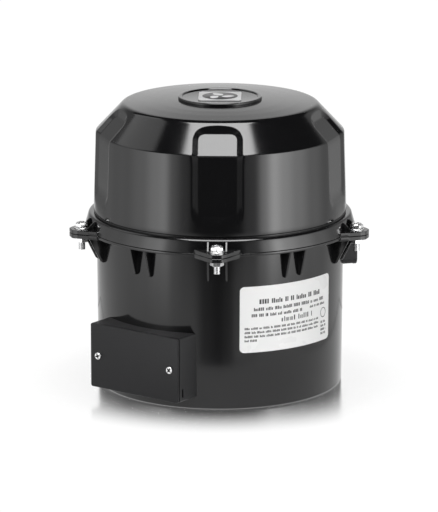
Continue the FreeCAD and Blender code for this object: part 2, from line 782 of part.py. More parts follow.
def intake():
    half, front, low, wall = cell.hood_half_width, cell.hood_front, cell.hood_low, cell.hood_wall
    high = cell.flange_low - 0.1
    outer = fronted(rectangle(half, low, high, 6.0, 1.0), 100, front)
    inner = block(-half + wall, half - wall, -front + wall, -90, low - 5, high - wall)
    bosses = [cylinder(3.8, 13, x=24.5 * side, y=-108, z=124, rotation=OUTWARD) for side in (1, -1)]
    pilots = [cylinder(1.75, 12, x=24.5 * side, y=-106, z=124, rotation=OUTWARD) for side in (1, -1)]
    hood = cut(fuse(cut(outer, inner), *bosses), wall_cone(0.05), *pilots)
    piece("intake_hood", spun(set_of([hood]), INTAKE_TURN))
    bars = [block(-24 + 6 * k, -20.5 + 6 * k, -front + wall + 2, -116.8, 104, 120) for k in range(8)]
    plate = block(-half + wall + 0.1, half - wall - 0.1, -front + wall + 0.1, -100, low + 2, low + 4)
    piece("intake_screen", spun(set_of([cut(plate, wall_cone(0.1), *bars)]), INTAKE_TURN))
    screws = [screw_at(24.5 * side, -108.3, 124, (0, 1, 0), 1.6, 7.0, 3.2, 2.0) for side in (1, -1)]
    piece("hood_screws", spun(set_of(screws), INTAKE_TURN))


def intake_duct():
    """The passage inside the canister that leads the intake air up through the partition."""
    inner, low, wall, rest = cell.duct_inner, cell.duct_low, 2.0, cell.ledge_radius - 0.2
    top = cell.ledge_height - 0.1
    room = turned([(0, low), (110.9, low), (110.9, 130.5), (rest, 137), (rest, top), (0, top)])
    outer = common(room, block(-31, 31, -130, -inner, low, top))
    hollow = block(-31 + wall, 31 - wall, -130, -inner - wall, low + wall, top + 1)
    piece("intake_duct", spun(set_of([cut(outer, hollow)]), INTAKE_TURN))


# ---- partition and liners -------------------------------------------------------------------------------


def partition():
    low = cell.ledge_height
    high = low + cell.plate_thickness
    disc = tube(cell.top_radius - cell.wall - 0.3, cell.plate_hole, low, high)
    mouth = spun(set_of([block(-26, 26, -104.5, -91, low - 1, high + 1)]), INTAKE_TURN)
    edge = ring_of(4, lambda: cylinder(1.75, 8, y=-109.2, z=low - 2), PLATE_TURN)
    mount = ring_of(4, lambda: cylinder(2.0, 8, y=-cell.mount_circle, z=low - 2), MOUNT_TURN)
    piece("partition_plate", cut(disc, mouth, *edge, *mount))
    screws = ring_of(4, lambda: screw_at(0, -109.2, high, (0, 0, 1), 1.4, 6.0, 2.6, 1.8), PLATE_TURN)
    piece("partition_screws", set_of(screws))
    top = high + cell.motor_gasket_thickness
    seal = tube(cell.mount_flange, cell.plate_hole, high, top)
    holes = ring_of(4, lambda: cylinder(2.0, 8, y=-cell.mount_circle, z=low), MOUNT_TURN)
    piece("motor_gasket", cut(seal, *holes))
    seat, circle = top + cell.bracket_flange, cell.mount_circle
    screws = ring_of(4, lambda: screw_at(0, -circle, seat, (0, 0, 1), 1.8, 13.0, 3.2, 2.0), MOUNT_TURN)
    piece("motor_mount_screws", set_of(screws))


def liners():
    piece("acoustic_liner", tube(107.5, 97.0, 158, 230))
    piece("chamber_foam", tube(110.3, 99.0, 66, 99))


# ---- fan ------------------------------------------------------------------------------------------------

FAN_BASE = cell.ledge_height + cell.plate_thickness + cell.motor_gasket_thickness + cell.bracket_flange


def vane(inner, outer, low, high):
    """A curved vane one millimetre thick, standing between two radii."""
    bend = (outer - inner) * 0.75
    middle = (outer + inner) / 2
    arc = tube(bend + 1.0, bend, low, high, x=bend * 0.92, y=-middle)
    return common(arc, tube(outer, inner, low, high), block(-40, 40, -outer, 0, low, high))


def impeller(name, low):
    """A closed wheel: hub and back plate, seven curved vanes and a front ring with the eye."""
    high = low + cell.impeller_height
    bore = cell.shaft_radius + cell.fit_gap
    back = turned([(bore, low), (cell.impeller_radius, low), (cell.impeller_radius, low + 1.2),
                   (10.0, low + 1.2, 2.0), (8.0, low + 7.0), (bore, low + 7.0)])
    front = turned([(19.5, high + 1.0), (19.5, high - 1.5), (22.5, high - 3.0, 1.5),
                    (cell.impeller_radius, high - 4.0), (cell.impeller_radius, high - 3.0),
                    (22.5, high - 2.0, 1.5), (20.7, high - 1.0), (20.7, high + 1.0)])
    vanes = ring_of(7, lambda: vane(24, 63, low + 1.0, high - 3.4))
    piece(name, fuse(back, front, *vanes))


def fan():
    base = FAN_BASE
    first, second = base + 3.5, base + 33.0
    impeller("impeller_lower", first)
    impeller("impeller_upper", second)
    low, high = first + 17.5, first + 20.0
    rim = cell.shell_radius - cell.shell_sheet - 0.1
    disc = tube(rim, 22.0, low, low + 1.2)
    vanes = ring_of(9, lambda: vane(30, 69, low + 1.0, high + 5.0))
    wall = tube(rim, rim - 1.0, low, high + 5.0)
    piece("stage_diffuser", fuse(disc, wall, *vanes))
    top = base + cell.shell_height
    sheet, outer, eye = cell.shell_sheet, cell.shell_radius, cell.eye_radius
    piece("fan_shell", turned([
        (outer - sheet, base), (outer, base), (outer, top, 3.0), (eye + 3, top, 1.0), (eye + 1.4, top + 3.0),
        (eye + 0.2, top + 3.0), (eye + 1.6, top - sheet), (outer - sheet, top - sheet, 2.0)]))
    bore = cell.shaft_radius + cell.fit_gap
    piece("fan_spacer", tube(7.0, bore, first + 7.0, second))
    piece("lower_spacer", tube(6.6, bore, cell.ledge_height + 4.2, first))
    piece("fan_washer", tube(8.0, bore, second + 7.0, second + 8.6))
    nut = raised(hexagon(7.5), second + 8.6, second + 14.0)
    piece("shaft_nut", cut(nut, cylinder(bore, 10, z=second + 7)))
    return second + 16.0


# ---- motor ----------------------------------------------------------------------------------------------

SPIDER_LOW = 134.0
BEARING_LOW = 60.0


def fan_end_bracket():
    top = FAN_BASE
    low = top - cell.bracket_flange
    ring, cup = cell.mount_flange, cell.stator_radius + cell.fit_gap
    shape = turned([
        (cup, 119), (cup + 3.5, 119), (cup + 3.5, low), (ring, low), (ring, top), (cup, top), (cup, 138),
        (15, 138), (15, 145.1), (5.5, 145.1), (5.5, 145.0), (cell.bearing_radius + 0.02, 145.0),
        (cell.bearing_radius + 0.02, 137.9), (5.5, 137.9), (5.5, SPIDER_LOW - 1), (15, SPIDER_LOW - 1),
        (15, SPIDER_LOW), (cup, SPIDER_LOW)])
    ways = ring_of(6, lambda: cylinder(10.5, 12, y=-29.5, z=SPIDER_LOW - 3), 15)
    mounts = ring_of(4, lambda: cylinder(1.95, 8, y=-cell.mount_circle, z=low - 2), MOUNT_TURN)
    bolts = ring_of(2, lambda: cylinder(2.05, 12, y=-cell.through_bolt_circle, z=SPIDER_LOW - 3), 0)
    piece("fan_end_bracket", cut(shape, *ways, *mounts, *bolts))


def bearing(name, low):
    """A sealed ball bearing: two rings and the two shields between them."""
    high = low + cell.bearing_height
    outer = tube(cell.bearing_radius, cell.bearing_radius - 2.4, low, high)
    inner = tube(cell.shaft_radius + 2.2, cell.shaft_radius + cell.running_gap, low, high)
    shields = tube(cell.bearing_radius - 2.4, cell.shaft_radius + 2.2, low + 0.4, high - 0.4)
    piece(name, fuse(outer, inner, shields))


def rotor(shaft_top):
    shaft = cell.shaft_radius
    bore = shaft + cell.fit_gap
    low = BEARING_LOW - 1.5
    piece("motor_shaft", turned([
        (0, low), (shaft, low), (shaft, shaft_top), (shaft - 0.8, shaft_top + 0.8), (0, shaft_top + 0.8)]))
    low, high = cell.stator_low + 1, cell.stator_high - 1
    core = tube(cell.armature_radius, bore, low, high)
    slots = ring_of(12, lambda: block(-1.5, 1.5, -cell.armature_radius - 1, -14, low - 1, high + 1))
    piece("armature_core", cut(core, *slots))
    ends = [turned([(9.0, a), (20.5, a, 2.5), (20.5, b, 2.5), (9.0, b)])
            for a, b in ((low - 7.4, low), (high, high + 7.4))]
    bars = ring_of(12, lambda: block(-1.45, 1.45, -20.3, -14.2, low - 1, high + 1))
    piece("armature_windings", fuse(*ends, *bars))
    low, high = cell.commutator_low, cell.commutator_high
    slits = ring_of(24, lambda: block(-0.25, 0.25, -cell.commutator_radius - 1, -11.6, low - 1, high + 1))
    piece("commutator", cut(tube(cell.commutator_radius, bore, low, high), *slits))


def stator():
    low, high = cell.stator_low, cell.stator_high
    core = tube(cell.stator_radius, cell.stator_bore, low, high)
    windows = [block(26.5 * side - 10.5, 26.5 * side + 10.5, 10 * up - 6.0, 10 * up + 6.0, low - 1, high + 1)
               for side in (1, -1) for up in (1, -1)]
    bolts = ring_of(2, lambda: cylinder(2.05, 60, y=-cell.through_bolt_circle, z=low - 5))
    piece("stator_core", cut(core, *windows, *bolts))
    bundles = [block(26.2 if side > 0 else -36.0, 36.0 if side > 0 else -26.2, 10 * up - 5.5, 10 * up + 5.5,
                     low - 1, high + 1) for side in (1, -1) for up in (1, -1)]
    ends = [turned([(26.0, a), (36.5, a, 3.0), (36.5, b, 3.0), (26.0, b, 2.0)])
            for a, b in ((low - 7.0, low - 0.1), (high + 0.1, high + 8.0))]
    piece("stator_windings", fuse(*ends, *bundles))
    top = high + 8.0
    piece("thermal_protector", spun(set_of([raised(rectangle(5.5, -35.5, -28.5, 1.0), top, top + 1.7)]), 65))


def brush_end_bracket():
    ring, low = cell.stator_radius, BEARING_LOW - 2
    shape = turned([
        (8.0, low), (ring, low), (ring, cell.stator_low), (ring - 3.2, cell.stator_low),
        (ring - 3.2, low + 3), (14.0, low + 3), (14.0, BEARING_LOW + 8.0),
        (cell.bearing_radius + 0.02, BEARING_LOW + 8.0),
        (cell.bearing_radius + 0.02, BEARING_LOW - 0.1), (8.0, BEARING_LOW - 0.1)])
    ways = ring_of(4, lambda: cylinder(7.5, 12, y=-28.0, z=low - 3), 45)
    windows = ring_of(4, lambda: block(-13, 13, -ring - 2, -ring + 8, low + 7, cell.stator_low - 8), 45)
    circle = cell.through_bolt_circle
    feet = ring_of(2, lambda: cylinder(4.2, cell.stator_low - low, y=-circle, z=low))
    seats = [block(34 * side - 14, 34 * side + 14, -5.62, 5.62, 70.38, 81.62) for side in (1, -1)]
    bolts = ring_of(2, lambda: cylinder(2.05, 60, y=-circle, z=low - 5))
    trimmed = cut(shape, *ways, *windows, *seats)
    edge = cylinder(ring, cell.stator_low - low, z=low)
    piece("brush_end_bracket", cut(fuse(trimmed, common(fuse(*feet), edge)), *bolts))


BRUSH_RISE = Size(76.0, "(Sizes.commutator_low + Sizes.commutator_high) / 2")


def brush_gear():
    """Two holders with their carbon brushes and springs, on either side of the commutator."""
    half_w, half_h = cell.brush_width / 2, cell.brush_height / 2
    face = cell.commutator_radius + 0.1
    back = face + cell.brush_length
    gap, sheet, reach = cell.brush_clearance, cell.holder_sheet, cell.holder_reach
    rise = BRUSH_RISE
    for side, name in ((1, "right"), (-1, "left")):
        turn = 90 if side > 0 else -90
        carbon = block(-half_w, half_w, -back, -10, rise - half_h, rise + half_h)
        piece(f"{name}_brush", spun(set_of([cut(carbon, cylinder(face, 60, z=50))]), turn))
        wide, tall = half_w + gap, half_h + gap
        case = block(-wide - sheet, wide + sheet, -reach, -16, rise - tall - sheet, rise + tall + sheet)
        room = block(-wide, wide, -reach + 1.2, -15, rise - tall, rise + tall)
        tab = block(-3, 3, -reach - 5, -reach, rise - 0.4, rise + 0.4)
        piece(f"{name}_brush_holder", spun(set_of([fuse(cut(case, room), tab)]), turn))
        length = (reach - 1.2 - back).number - 1.0
        spring = doc.addObject("Part::Feature", "Spring")
        path = Part.makeHelix(length / 6, length, 2.0)
        section = Part.Wire([Part.makeCircle(0.3, Vector(2.0, 0, 0), Vector(0, 1, 0))])
        spring.Shape = Part.Wire(path.Edges).makePipeShell([section], True, True)
        place(spring, y=-(back + 0.5), z=rise, rotation=OUTWARD)
        piece(f"{name}_brush_spring", spun(set_of([spring]), turn))


def through_bolts():
    low, circle = BEARING_LOW - 2, cell.through_bolt_circle
    bolts = ring_of(2, lambda: screw_at(0, -circle, low, (0, 0, -1), 1.95, 79.0, 3.3, 2.4))
    piece("motor_through_bolts", set_of(bolts))


# ---- wiring ---------------------------------------------------------------------------------------------


def bent_tube(points, radius):
    """A wire of round section along straight runs joined by tangent arcs."""
    spots = [Vector(*p) for p in points]
    runs = [spots[i + 1] - spots[i] for i in range(len(spots) - 1)]
    edges, start = [], spots[0]
    for i in range(1, len(spots) - 1):
        before, after = runs[i - 1], runs[i]
        turn = before.getAngle(after)
        trim = 0.42 * min(before.Length, after.Length)
        bend = trim / math.tan(turn / 2)
        along, onward = Vector(before).normalize(), Vector(after).normalize()
        first, last = spots[i] - along * trim, spots[i] + onward * trim
        inward = (onward - along).normalize()
        apex = spots[i] + inward * (bend / math.cos(turn / 2) - bend)
        edges += [Part.LineSegment(start, first).toShape(), Part.Arc(first, apex, last).toShape()]
        start = last
    edges.append(Part.LineSegment(start, spots[-1]).toShape())
    path = Part.Wire(edges)
    section = Part.Wire([Part.makeCircle(radius, spots[0], runs[0])])
    thing = doc.addObject("Part::Feature", "Lead")
    thing.Shape = path.makePipeShell([section], True, True)
    return thing


def out_from(azimuth, radius, height, across=0.0):
    """A place given by its angle round the blower, its distance from the axis and its height."""
    sine, cosine = math.sin(math.radians(azimuth)), math.cos(math.radians(azimuth))
    return (radius * sine + across * cosine, -radius * cosine + across * sine, height)


def leads():
    rise = cell.grommet_height.number
    passes = {"black": (0.4, 2.6), "white": (-1.6, -0.2), "green": (1.2, -2.4)}
    starts = {"black": (-46.4, 0, 74.0), "white": (46.4, 0, 74.0), "green": (0.0, -47.3, 62.0)}
    middles = {
        "black": [(-56, -6, 60), (-58, -38, 52), (-46, -74, 47)],
        "white": [(58, -8, 60), (56, -46, 54), (20, -80, 50), (-24, -84, 46)],
        "green": [(-3, -58, 54), (-24, -72, 40)],
    }
    ends = {
        "black": [(20, 122.3, 47), (-4, 122.3, 58), (-25.0, 121.3, 60.4)],
        "white": [(19, 122.3, 40.8), (-2, 122.3, 46), (-25.0, 121.3, 49.0)],
        "green": [(20, 122.3, 33), (6, 122.3, 26), (-9.5, 120.4, 24.0)],
    }
    for colour, (across, up) in passes.items():
        gate = [out_from(WIRE_TURN, out, rise + up, across) for out in (92, 125)]
        tail = [out_from(BOX_TURN, out, height, along) for along, out, height in ends[colour]]
        route = [starts[colour], *middles[colour], *gate, *tail]
        piece(f"{colour}_lead", bent_tube(route, 1.15))


def box_fittings():
    caps = []
    for height in (60.4, 49.0):
        cap = turned([(1.2, 0), (4.6, 0), (4.9, 3.0), (3.6, 12.0, 1.0), (0, 12.0), (0, 2.0), (1.2, 2.0)])
        caps.append(place(set_of([cap]), -25.0, -121.3, height, rotation=Rotation(Vector(0, 1, 0), -90)))
    piece("wire_connectors", in_box(set_of(caps)))
    screw = screw_at(-12, -117.0, 24, (0, -1, 0), 1.5, 2.6, 3.4, 2.0)
    piece("ground_screw", in_box(set_of([screw])))


# ---- build, check and write -----------------------------------------------------------------------------

lower_housing()
housing_gasket()
clamp_hardware()
upper_housing()
badge()
rating_label()
junction_box()
junction_trim()
wire_grommet()
intake()
intake_duct()
partition()
liners()
shaft_end = fan()
fan_end_bracket()
bearing("upper_bearing", 138.0)
bearing("lower_bearing", BEARING_LOW)
rotor(shaft_end)
stator()
brush_end_bracket()
brush_gear()
through_bolts()
leads()
box_fittings()
doc.recompute()

faulty = [f"{thing.Label} {thing.State}" for thing in doc.Objects
          if "Invalid" in thing.State or "Error" in thing.State]
for name, thing in pieces.items():
    if thing.Shape.isNull() or not thing.Shape.isValid() or not thing.Shape.Solids:
        faulty.append(f"{name} has no valid solid")
if faulty:
    raise SystemExit("\n".join(faulty))
os.makedirs("parts", exist_ok=True)
for name, thing in pieces.items():
    thing.Shape.exportStep(f"parts/{name}.step")
    print(f"{name}: {len(thing.Shape.Solids)} solids, {thing.Shape.Volume / 1000:.2f} cm3")
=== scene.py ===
import bmesh
import bpy
import math
import random
from mathutils import Matrix, Vector


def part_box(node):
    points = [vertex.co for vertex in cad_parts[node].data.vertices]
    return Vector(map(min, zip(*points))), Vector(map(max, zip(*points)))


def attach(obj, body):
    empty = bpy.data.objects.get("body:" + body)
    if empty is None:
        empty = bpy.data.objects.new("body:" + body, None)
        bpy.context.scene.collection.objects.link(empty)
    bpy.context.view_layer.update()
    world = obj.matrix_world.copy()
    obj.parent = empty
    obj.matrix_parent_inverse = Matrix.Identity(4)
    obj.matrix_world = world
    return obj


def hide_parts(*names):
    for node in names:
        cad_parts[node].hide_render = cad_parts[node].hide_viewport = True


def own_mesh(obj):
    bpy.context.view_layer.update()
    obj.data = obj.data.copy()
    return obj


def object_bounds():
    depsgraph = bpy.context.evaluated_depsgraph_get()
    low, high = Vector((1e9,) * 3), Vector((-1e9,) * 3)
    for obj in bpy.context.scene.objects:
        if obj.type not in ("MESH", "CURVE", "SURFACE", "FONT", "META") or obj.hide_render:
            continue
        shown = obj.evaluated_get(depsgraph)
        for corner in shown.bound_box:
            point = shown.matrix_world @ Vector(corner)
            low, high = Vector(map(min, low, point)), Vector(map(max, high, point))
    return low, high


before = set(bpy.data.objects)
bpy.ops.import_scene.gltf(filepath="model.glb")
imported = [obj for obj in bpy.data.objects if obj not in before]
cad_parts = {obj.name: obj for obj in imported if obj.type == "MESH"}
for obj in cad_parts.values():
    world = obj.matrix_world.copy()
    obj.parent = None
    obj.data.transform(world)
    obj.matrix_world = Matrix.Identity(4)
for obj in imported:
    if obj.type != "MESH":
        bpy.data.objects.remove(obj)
cad_low, cad_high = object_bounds()

# ---- Studio -----------------------------------------------------------------------------------------------
# A product table with a polished pale floor that fades to white, a large overhead softbox, and tall reflectors
# on both sides of the blower. The gloss of the plastic shows the reflectors, and the front is left dark.


def in_front(azimuth, distance, height):
    """A place round the blower, in metres; azimuth 0 is the front clamp, and it grows towards +X."""
    a = math.radians(azimuth)
    return Vector((distance * math.sin(a), -distance * math.cos(a), height))


camera = bpy.data.objects.new("camera", bpy.data.cameras.new("camera"))
camera.location = in_front(1.2, 3.794, 1.041)
camera.rotation_euler = (math.radians(90 - 13.685), 0, math.radians(1.2))
camera.data.lens, camera.data.sensor_width = 292.9, 36
camera.data.shift_x = -0.002
camera.data.clip_start, camera.data.clip_end = 0.1, 60
bpy.context.scene.collection.objects.link(camera)
bpy.context.scene.camera = camera


def node(tree, kind, **inputs):
    """Adds a shader node; a value is set on a socket by its name, and a socket is linked to it."""
    made = tree.nodes.new("ShaderNode" + kind)
    feed(tree, made, **inputs)
    return made


def feed(tree, made, **inputs):
    """Sets or links a node's sockets; underscores in a name stand for spaces."""
    for name, value in inputs.items():
        key = name.replace("_", " ")
        socket = made.inputs[int(key[1:])] if key[0] == "n" and key[1:].isdigit() else made.inputs[key]
        if isinstance(value, bpy.types.NodeSocket):
            tree.links.new(value, socket)
        else:
            socket.default_value = value


def maths(tree, operation, *values, clamp=False):
    """The result of a maths node."""
    made = tree.nodes.new("ShaderNodeMath")
    made.operation, made.use_clamp = operation, clamp
    feed(tree, made, **{f"n{i}": value for i, value in enumerate(values)})
    return made.outputs[0]


def blend_value(tree, factor, low, high):
    """low where the factor is 0, high where it is 1."""
    made = node(tree, "MapRange", Value=factor, To_Min=low, To_Max=high)
    return made.outputs[0]


def blend_colour(tree, factor, low, high):
    """One colour where the factor is 0 and another where it is 1."""
    made = tree.nodes.new("ShaderNodeMix")
    made.data_type = "RGBA"
    for place, value in ((0, factor), (6, low), (7, high)):
        if isinstance(value, bpy.types.NodeSocket):
            tree.links.new(value, made.inputs[place])
        else:
            made.inputs[place].default_value = value if place == 0 else (*value, 1)
    return made.outputs[2]


def mesh_object(name, points, faces, smooth=True):
    """A new mesh object from points and faces."""
    mesh = bpy.data.meshes.new(name)
    mesh.from_pydata([tuple(p) for p in points], [], faces)
    mesh.validate()
    for face in mesh.polygons:
        face.use_smooth = smooth
    made = bpy.data.objects.new(name, mesh)
    bpy.context.scene.collection.objects.link(made)
    return made


def card(name, middle, width, height, strength, soft_x=0.5, soft_y=0.1, aim=None):
    """A glowing panel that only reflections see, brightest in its middle and fading to its edges."""
    w, h = width / 2, height / 2
    made = mesh_object(name, [(-w, -h, 0), (w, -h, 0), (w, h, 0), (-w, h, 0)], [(0, 1, 2, 3)], False)
    made.location = middle
    towards = (aim or Vector((0, 0, middle.z))) - middle
    made.rotation_euler = towards.to_track_quat("Z", "Y").to_euler()
    glow = bpy.data.materials.new(name)
    glow.use_nodes = True
    tree = glow.node_tree
    tree.nodes.clear()
    split = node(tree, "SeparateXYZ", Vector=node(tree, "TexCoord").outputs["Generated"])
    fade = None
    for side, softness in (("X", soft_x), ("Y", soft_y)):
        edge = maths(tree, "ABSOLUTE", maths(tree, "SUBTRACT", split.outputs[side], 0.5))
        ramp = node(tree, "MapRange", Value=edge, From_Min=0.5 - softness, From_Max=0.5, To_Min=1.0, To_Max=0.0)
        ramp.interpolation_type = "SMOOTHSTEP"
        fade = ramp.outputs[0] if fade is None else maths(tree, "MULTIPLY", fade, ramp.outputs[0])
    light = node(tree, "Emission", Strength=maths(tree, "MULTIPLY", fade, strength))
    output = node(tree, "OutputMaterial", Surface=light.outputs[0])
    output.is_active_output = True
    glow.cycles.emission_sampling = "NONE"
    made.data.materials.append(glow)
    made.visible_camera = made.visible_diffuse = made.visible_shadow = made.visible_transmission = False


def lamp(name, middle, size, power, aim=(0, 0, 0.12)):
    """A soft area lamp that lights the scene but is not seen in reflections."""
    made = bpy.data.objects.new(name, bpy.data.lights.new(name, "AREA"))
    made.location = middle
    made.rotation_euler = (Vector(aim) - Vector(middle)).to_track_quat("-Z", "Y").to_euler()
    made.data.shape, made.data.size, made.data.energy = "DISK", size, power
    made.visible_camera = made.visible_glossy = False
    bpy.context.scene.collection.objects.link(made)


def wrap_card(name, radius, low, high, floor_stops, wall_stops):
    """A curved reflector round the table, whose glow changes with the azimuth and from the foot upwards.

    The stops are (azimuth in degrees, glow), for the light off the floor and for the cards above it.
    """
    steps = 120
    angles = [math.radians(-180 + 360 * k / steps) for k in range(steps)]
    points = [(radius * math.sin(a), -radius * math.cos(a), z) for z in (low, high) for a in angles]
    faces = [(k, (k + 1) % steps, steps + (k + 1) % steps, steps + k) for k in range(steps)]
    made = mesh_object(name, points, faces)
    glow = bpy.data.materials.new(name)
    glow.use_nodes = True
    tree = glow.node_tree
    tree.nodes.clear()
    split = node(tree, "SeparateXYZ", Vector=node(tree, "TexCoord").outputs["Object"])
    back = maths(tree, "MULTIPLY", split.outputs["Y"], -1.0)
    azimuth = maths(tree, "ARCTAN2", split.outputs["X"], back)
    place = node(tree, "MapRange", Value=azimuth, From_Min=-math.pi, From_Max=math.pi)
    brightest = max(v for _, v in floor_stops + wall_stops)
    glows = []
    for stops in (floor_stops, wall_stops):
        ramp = node(tree, "ValToRGB", Fac=place.outputs[0])
        ramp.color_ramp.interpolation = "EASE"
        while len(ramp.color_ramp.elements) < len(stops):
            ramp.color_ramp.elements.new(0.5)
        for element, (turn, _) in zip(ramp.color_ramp.elements, stops):
            element.position = (turn + 180) / 360
        for element, (_, value) in zip(ramp.color_ramp.elements, stops):
            element.color = (*[value / brightest] * 3, 1)
        glows.append(ramp.outputs["Color"])
    rise = node(tree, "MapRange", Value=split.outputs["Z"], From_Min=FOOT_LIGHT[0], From_Max=FOOT_LIGHT[1])
    rise.interpolation_type = "SMOOTHSTEP"
    mixed = blend_colour(tree, rise.outputs[0], *glows)
    fall = node(tree, "MapRange", Value=split.outputs["Z"], From_Min=0.66, From_Max=0.92, To_Min=brightest,
                To_Max=0.68 * brightest)
    light = node(tree, "Emission", Color=mixed, Strength=fall.outputs[0])
    output = node(tree, "OutputMaterial", Surface=light.outputs[0])
    output.is_active_output = True
    glow.cycles.emission_sampling = "NONE"
    made.data.materials.append(glow)
    made.visible_camera = made.visible_diffuse = made.visible_shadow = made.visible_transmission = False


FOOT_LIGHT = (-0.40, -0.12)  # the heights between which the floor's even glow gives way to the cards
wrap_card("wrap_card", 1.7, -1.2, 1.25,
          [(-180, 0.9), (-120, 0.9), (-60, 1.0), (-24, 1.0), (-12, 0.3), (0, 0.12), (9, 0.3), (18, 1.0), (60, 1.05),
           (120, 0.9), (180, 0.9)],
          [(-172, 0.95), (-145, 0.35), (-130, 0.45), (-112, 0.8), (-92, 1.15), (-72, 1.9), (-58, 3.1), (-49, 3.7),
           (-41, 1.4), (-30, 0.5), (-20, 0.03), (18, 0.03), (25, 0.5), (32, 0.6), (40, 3.0), (50, 6.6), (60, 4.7),
           (74, 3.1), (92, 1.6), (112, 0.75), (135, 0.7), (153, 0.35), (172, 0.95)])
card("overhead_card", Vector((0, -0.40, 1.35)), 1.0, 0.9, 11.0, 0.06, 0.06, Vector((0, 0, 0.25)))
card("upper_left_card", Vector((-1.50, 0.66, 1.50)), 1.5, 1.5, 1.15, 0.1, 0.1, Vector((0, 0, 0.25)))
card("front_upper_card", in_front(0, 1.25, 1.4), 1.6, 1.0, 0.45, 0.2, 0.2, Vector((0, 0, 0.2)))
# the pale table as the polished part of the floor shows it
card("foot_card", Vector((0, 0, cad_low.z - 0.0004)), 0.53, 0.53, 0.95, 0.02, 0.02, Vector((0, 0, 1)))
lamp("overhead_lamp", (0, -0.5, 1.9), 1.5, 22)
lamp("front_lamp", (-0.8, -2.2, 1.3), 1.2, 17)
lamp("right_lamp", (1.8, -1.2, 1.1), 1.0, 9)

world = bpy.data.worlds.new("studio")
world.use_nodes = True
feed(world.node_tree, world.node_tree.nodes["Background"], Color=(1, 1, 1, 1), Strength=0.02)
bpy.context.scene.world = world

floor = mesh_object("floor", [(-9, -9, 0), (9, -9, 0), (9, 9, 0), (-9, 9, 0)], [(0, 1, 2, 3)], False)
floor.location.z = cad_low.z - 0.0002
floor.visible_glossy = False
table = bpy.data.materials.new("pale_table")
table.use_nodes = True
tree = table.node_tree
tree.nodes.remove(tree.nodes["Principled BSDF"])  # the floor has only its glow, and its polish near the blower
place = node(tree, "SeparateXYZ", Vector=node(tree, "NewGeometry").outputs["Position"])
spread = maths(tree, "SQRT", maths(tree, "ADD", maths(tree, "POWER", place.outputs["X"], 2.0),
                                   maths(tree, "POWER", place.outputs["Y"], 2.0)))
polish = node(tree, "MapRange", Value=spread, From_Min=0.200, From_Max=0.112, To_Min=0.0, To_Max=0.97)
polish.interpolation_type = "SMOOTHSTEP"
mirror = node(tree, "BsdfGlossy", Color=(1, 1, 1, 1), Roughness=0.2)
glow = node(tree, "Emission", Color=(1, 1, 1, 1), Strength=1.02)
surface = node(tree, "MixShader", Fac=polish.outputs[0], n1=glow.outputs[0], n2=mirror.outputs[0])
tree.links.new(surface.outputs[0], tree.nodes["Material Output"].inputs["Surface"])
floor.data.materials.append(table)
bpy.context.scene.view_settings.view_transform = "Standard"

# ---- Lid --------------------------------------------------------------------------------------------------
# One deep moulding in glossy black ABS: a low crown, a cone, a tall skirt and a rolled rim. Five long recesses
# with sloping sides give it grip and stiffness, and an ear with two gussets stands over each clamp bolt.


def group_socket(group, name, way, value=0.0):
    """Adds a number that goes into a node group or comes out of it."""
    socket = group.interface.new_socket(name, in_out=way, socket_type="NodeSocketFloat")
    if way == "INPUT":
        socket.default_value = value


def surface_marks_group():
    """The marks that any handled surface has, as masks from 0 to 1.

    They are moulding or machining grain, slow cloudiness, hairline scratches, brighter worn edges and a little
    settled dust.
    """
    group = bpy.data.node_groups.new("surface_marks", "ShaderNodeTree")
    for name, value in (("Grain Scale", 900.0), ("Cloud Scale", 25.0), ("Scratch Scale", 60.0)):
        group_socket(group, name, "INPUT", value=value)
    for name in ("Grain", "Cloud", "Scratch", "Edge", "Dust"):
        group_socket(group, name, "OUTPUT")
    given = group.nodes.new("NodeGroupInput")
    put_out = group.nodes.new("NodeGroupOutput")
    place = node(group, "TexCoord").outputs["Object"]
    grain = node(group, "TexNoise", Vector=place, Scale=given.outputs["Grain Scale"], Detail=2.0)
    cloud = node(group, "TexNoise", Vector=place, Scale=given.outputs["Cloud Scale"], Detail=3.0)
    warp = node(group, "TexNoise", Vector=place, Scale=9.0, Detail=1.0)
    bent = group.nodes.new("ShaderNodeVectorMath")
    bent.operation = "MULTIPLY_ADD"
    feed(group, bent, n0=warp.outputs["Color"], n1=(0.03, 0.03, 0.03), n2=place)
    cells = node(group, "TexVoronoi", Vector=bent.outputs[0], Scale=given.outputs["Scratch Scale"])
    cells.feature = "DISTANCE_TO_EDGE"
    line = node(group, "MapRange", Value=cells.outputs["Distance"], From_Max=0.012, To_Min=1.0, To_Max=0.0)
    patch = node(group, "MapRange", Value=cloud.outputs[0], From_Min=0.52, From_Max=0.62)
    scratch = maths(group, "MULTIPLY", line.outputs[0], patch.outputs[0])
    shape = node(group, "NewGeometry")
    edge = node(group, "MapRange", Value=shape.outputs["Pointiness"], From_Min=0.52, From_Max=0.60)
    up = node(group, "SeparateXYZ", Vector=shape.outputs["Normal"])
    level = node(group, "MapRange", Value=up.outputs["Z"], From_Min=0.55, From_Max=1.0)
    specks = node(group, "TexNoise", Vector=place, Scale=2200.0, Detail=1.0)
    settled = node(group, "MapRange", Value=specks.outputs[0], From_Min=0.62, From_Max=0.74)
    dust = maths(group, "MULTIPLY", level.outputs[0], settled.outputs[0])
    masks = {"Grain": grain.outputs[0], "Cloud": cloud.outputs[0], "Scratch": scratch,
             "Edge": edge.outputs[0], "Dust": dust}
    for name, socket in masks.items():
        group.links.new(socket, put_out.inputs[name])
    return group


marks_group = surface_marks_group()
WORN_SHARE = 0.15  # how far a worn edge goes towards its own colour
DUST_COLOUR = (0.5, 0.48, 0.45)


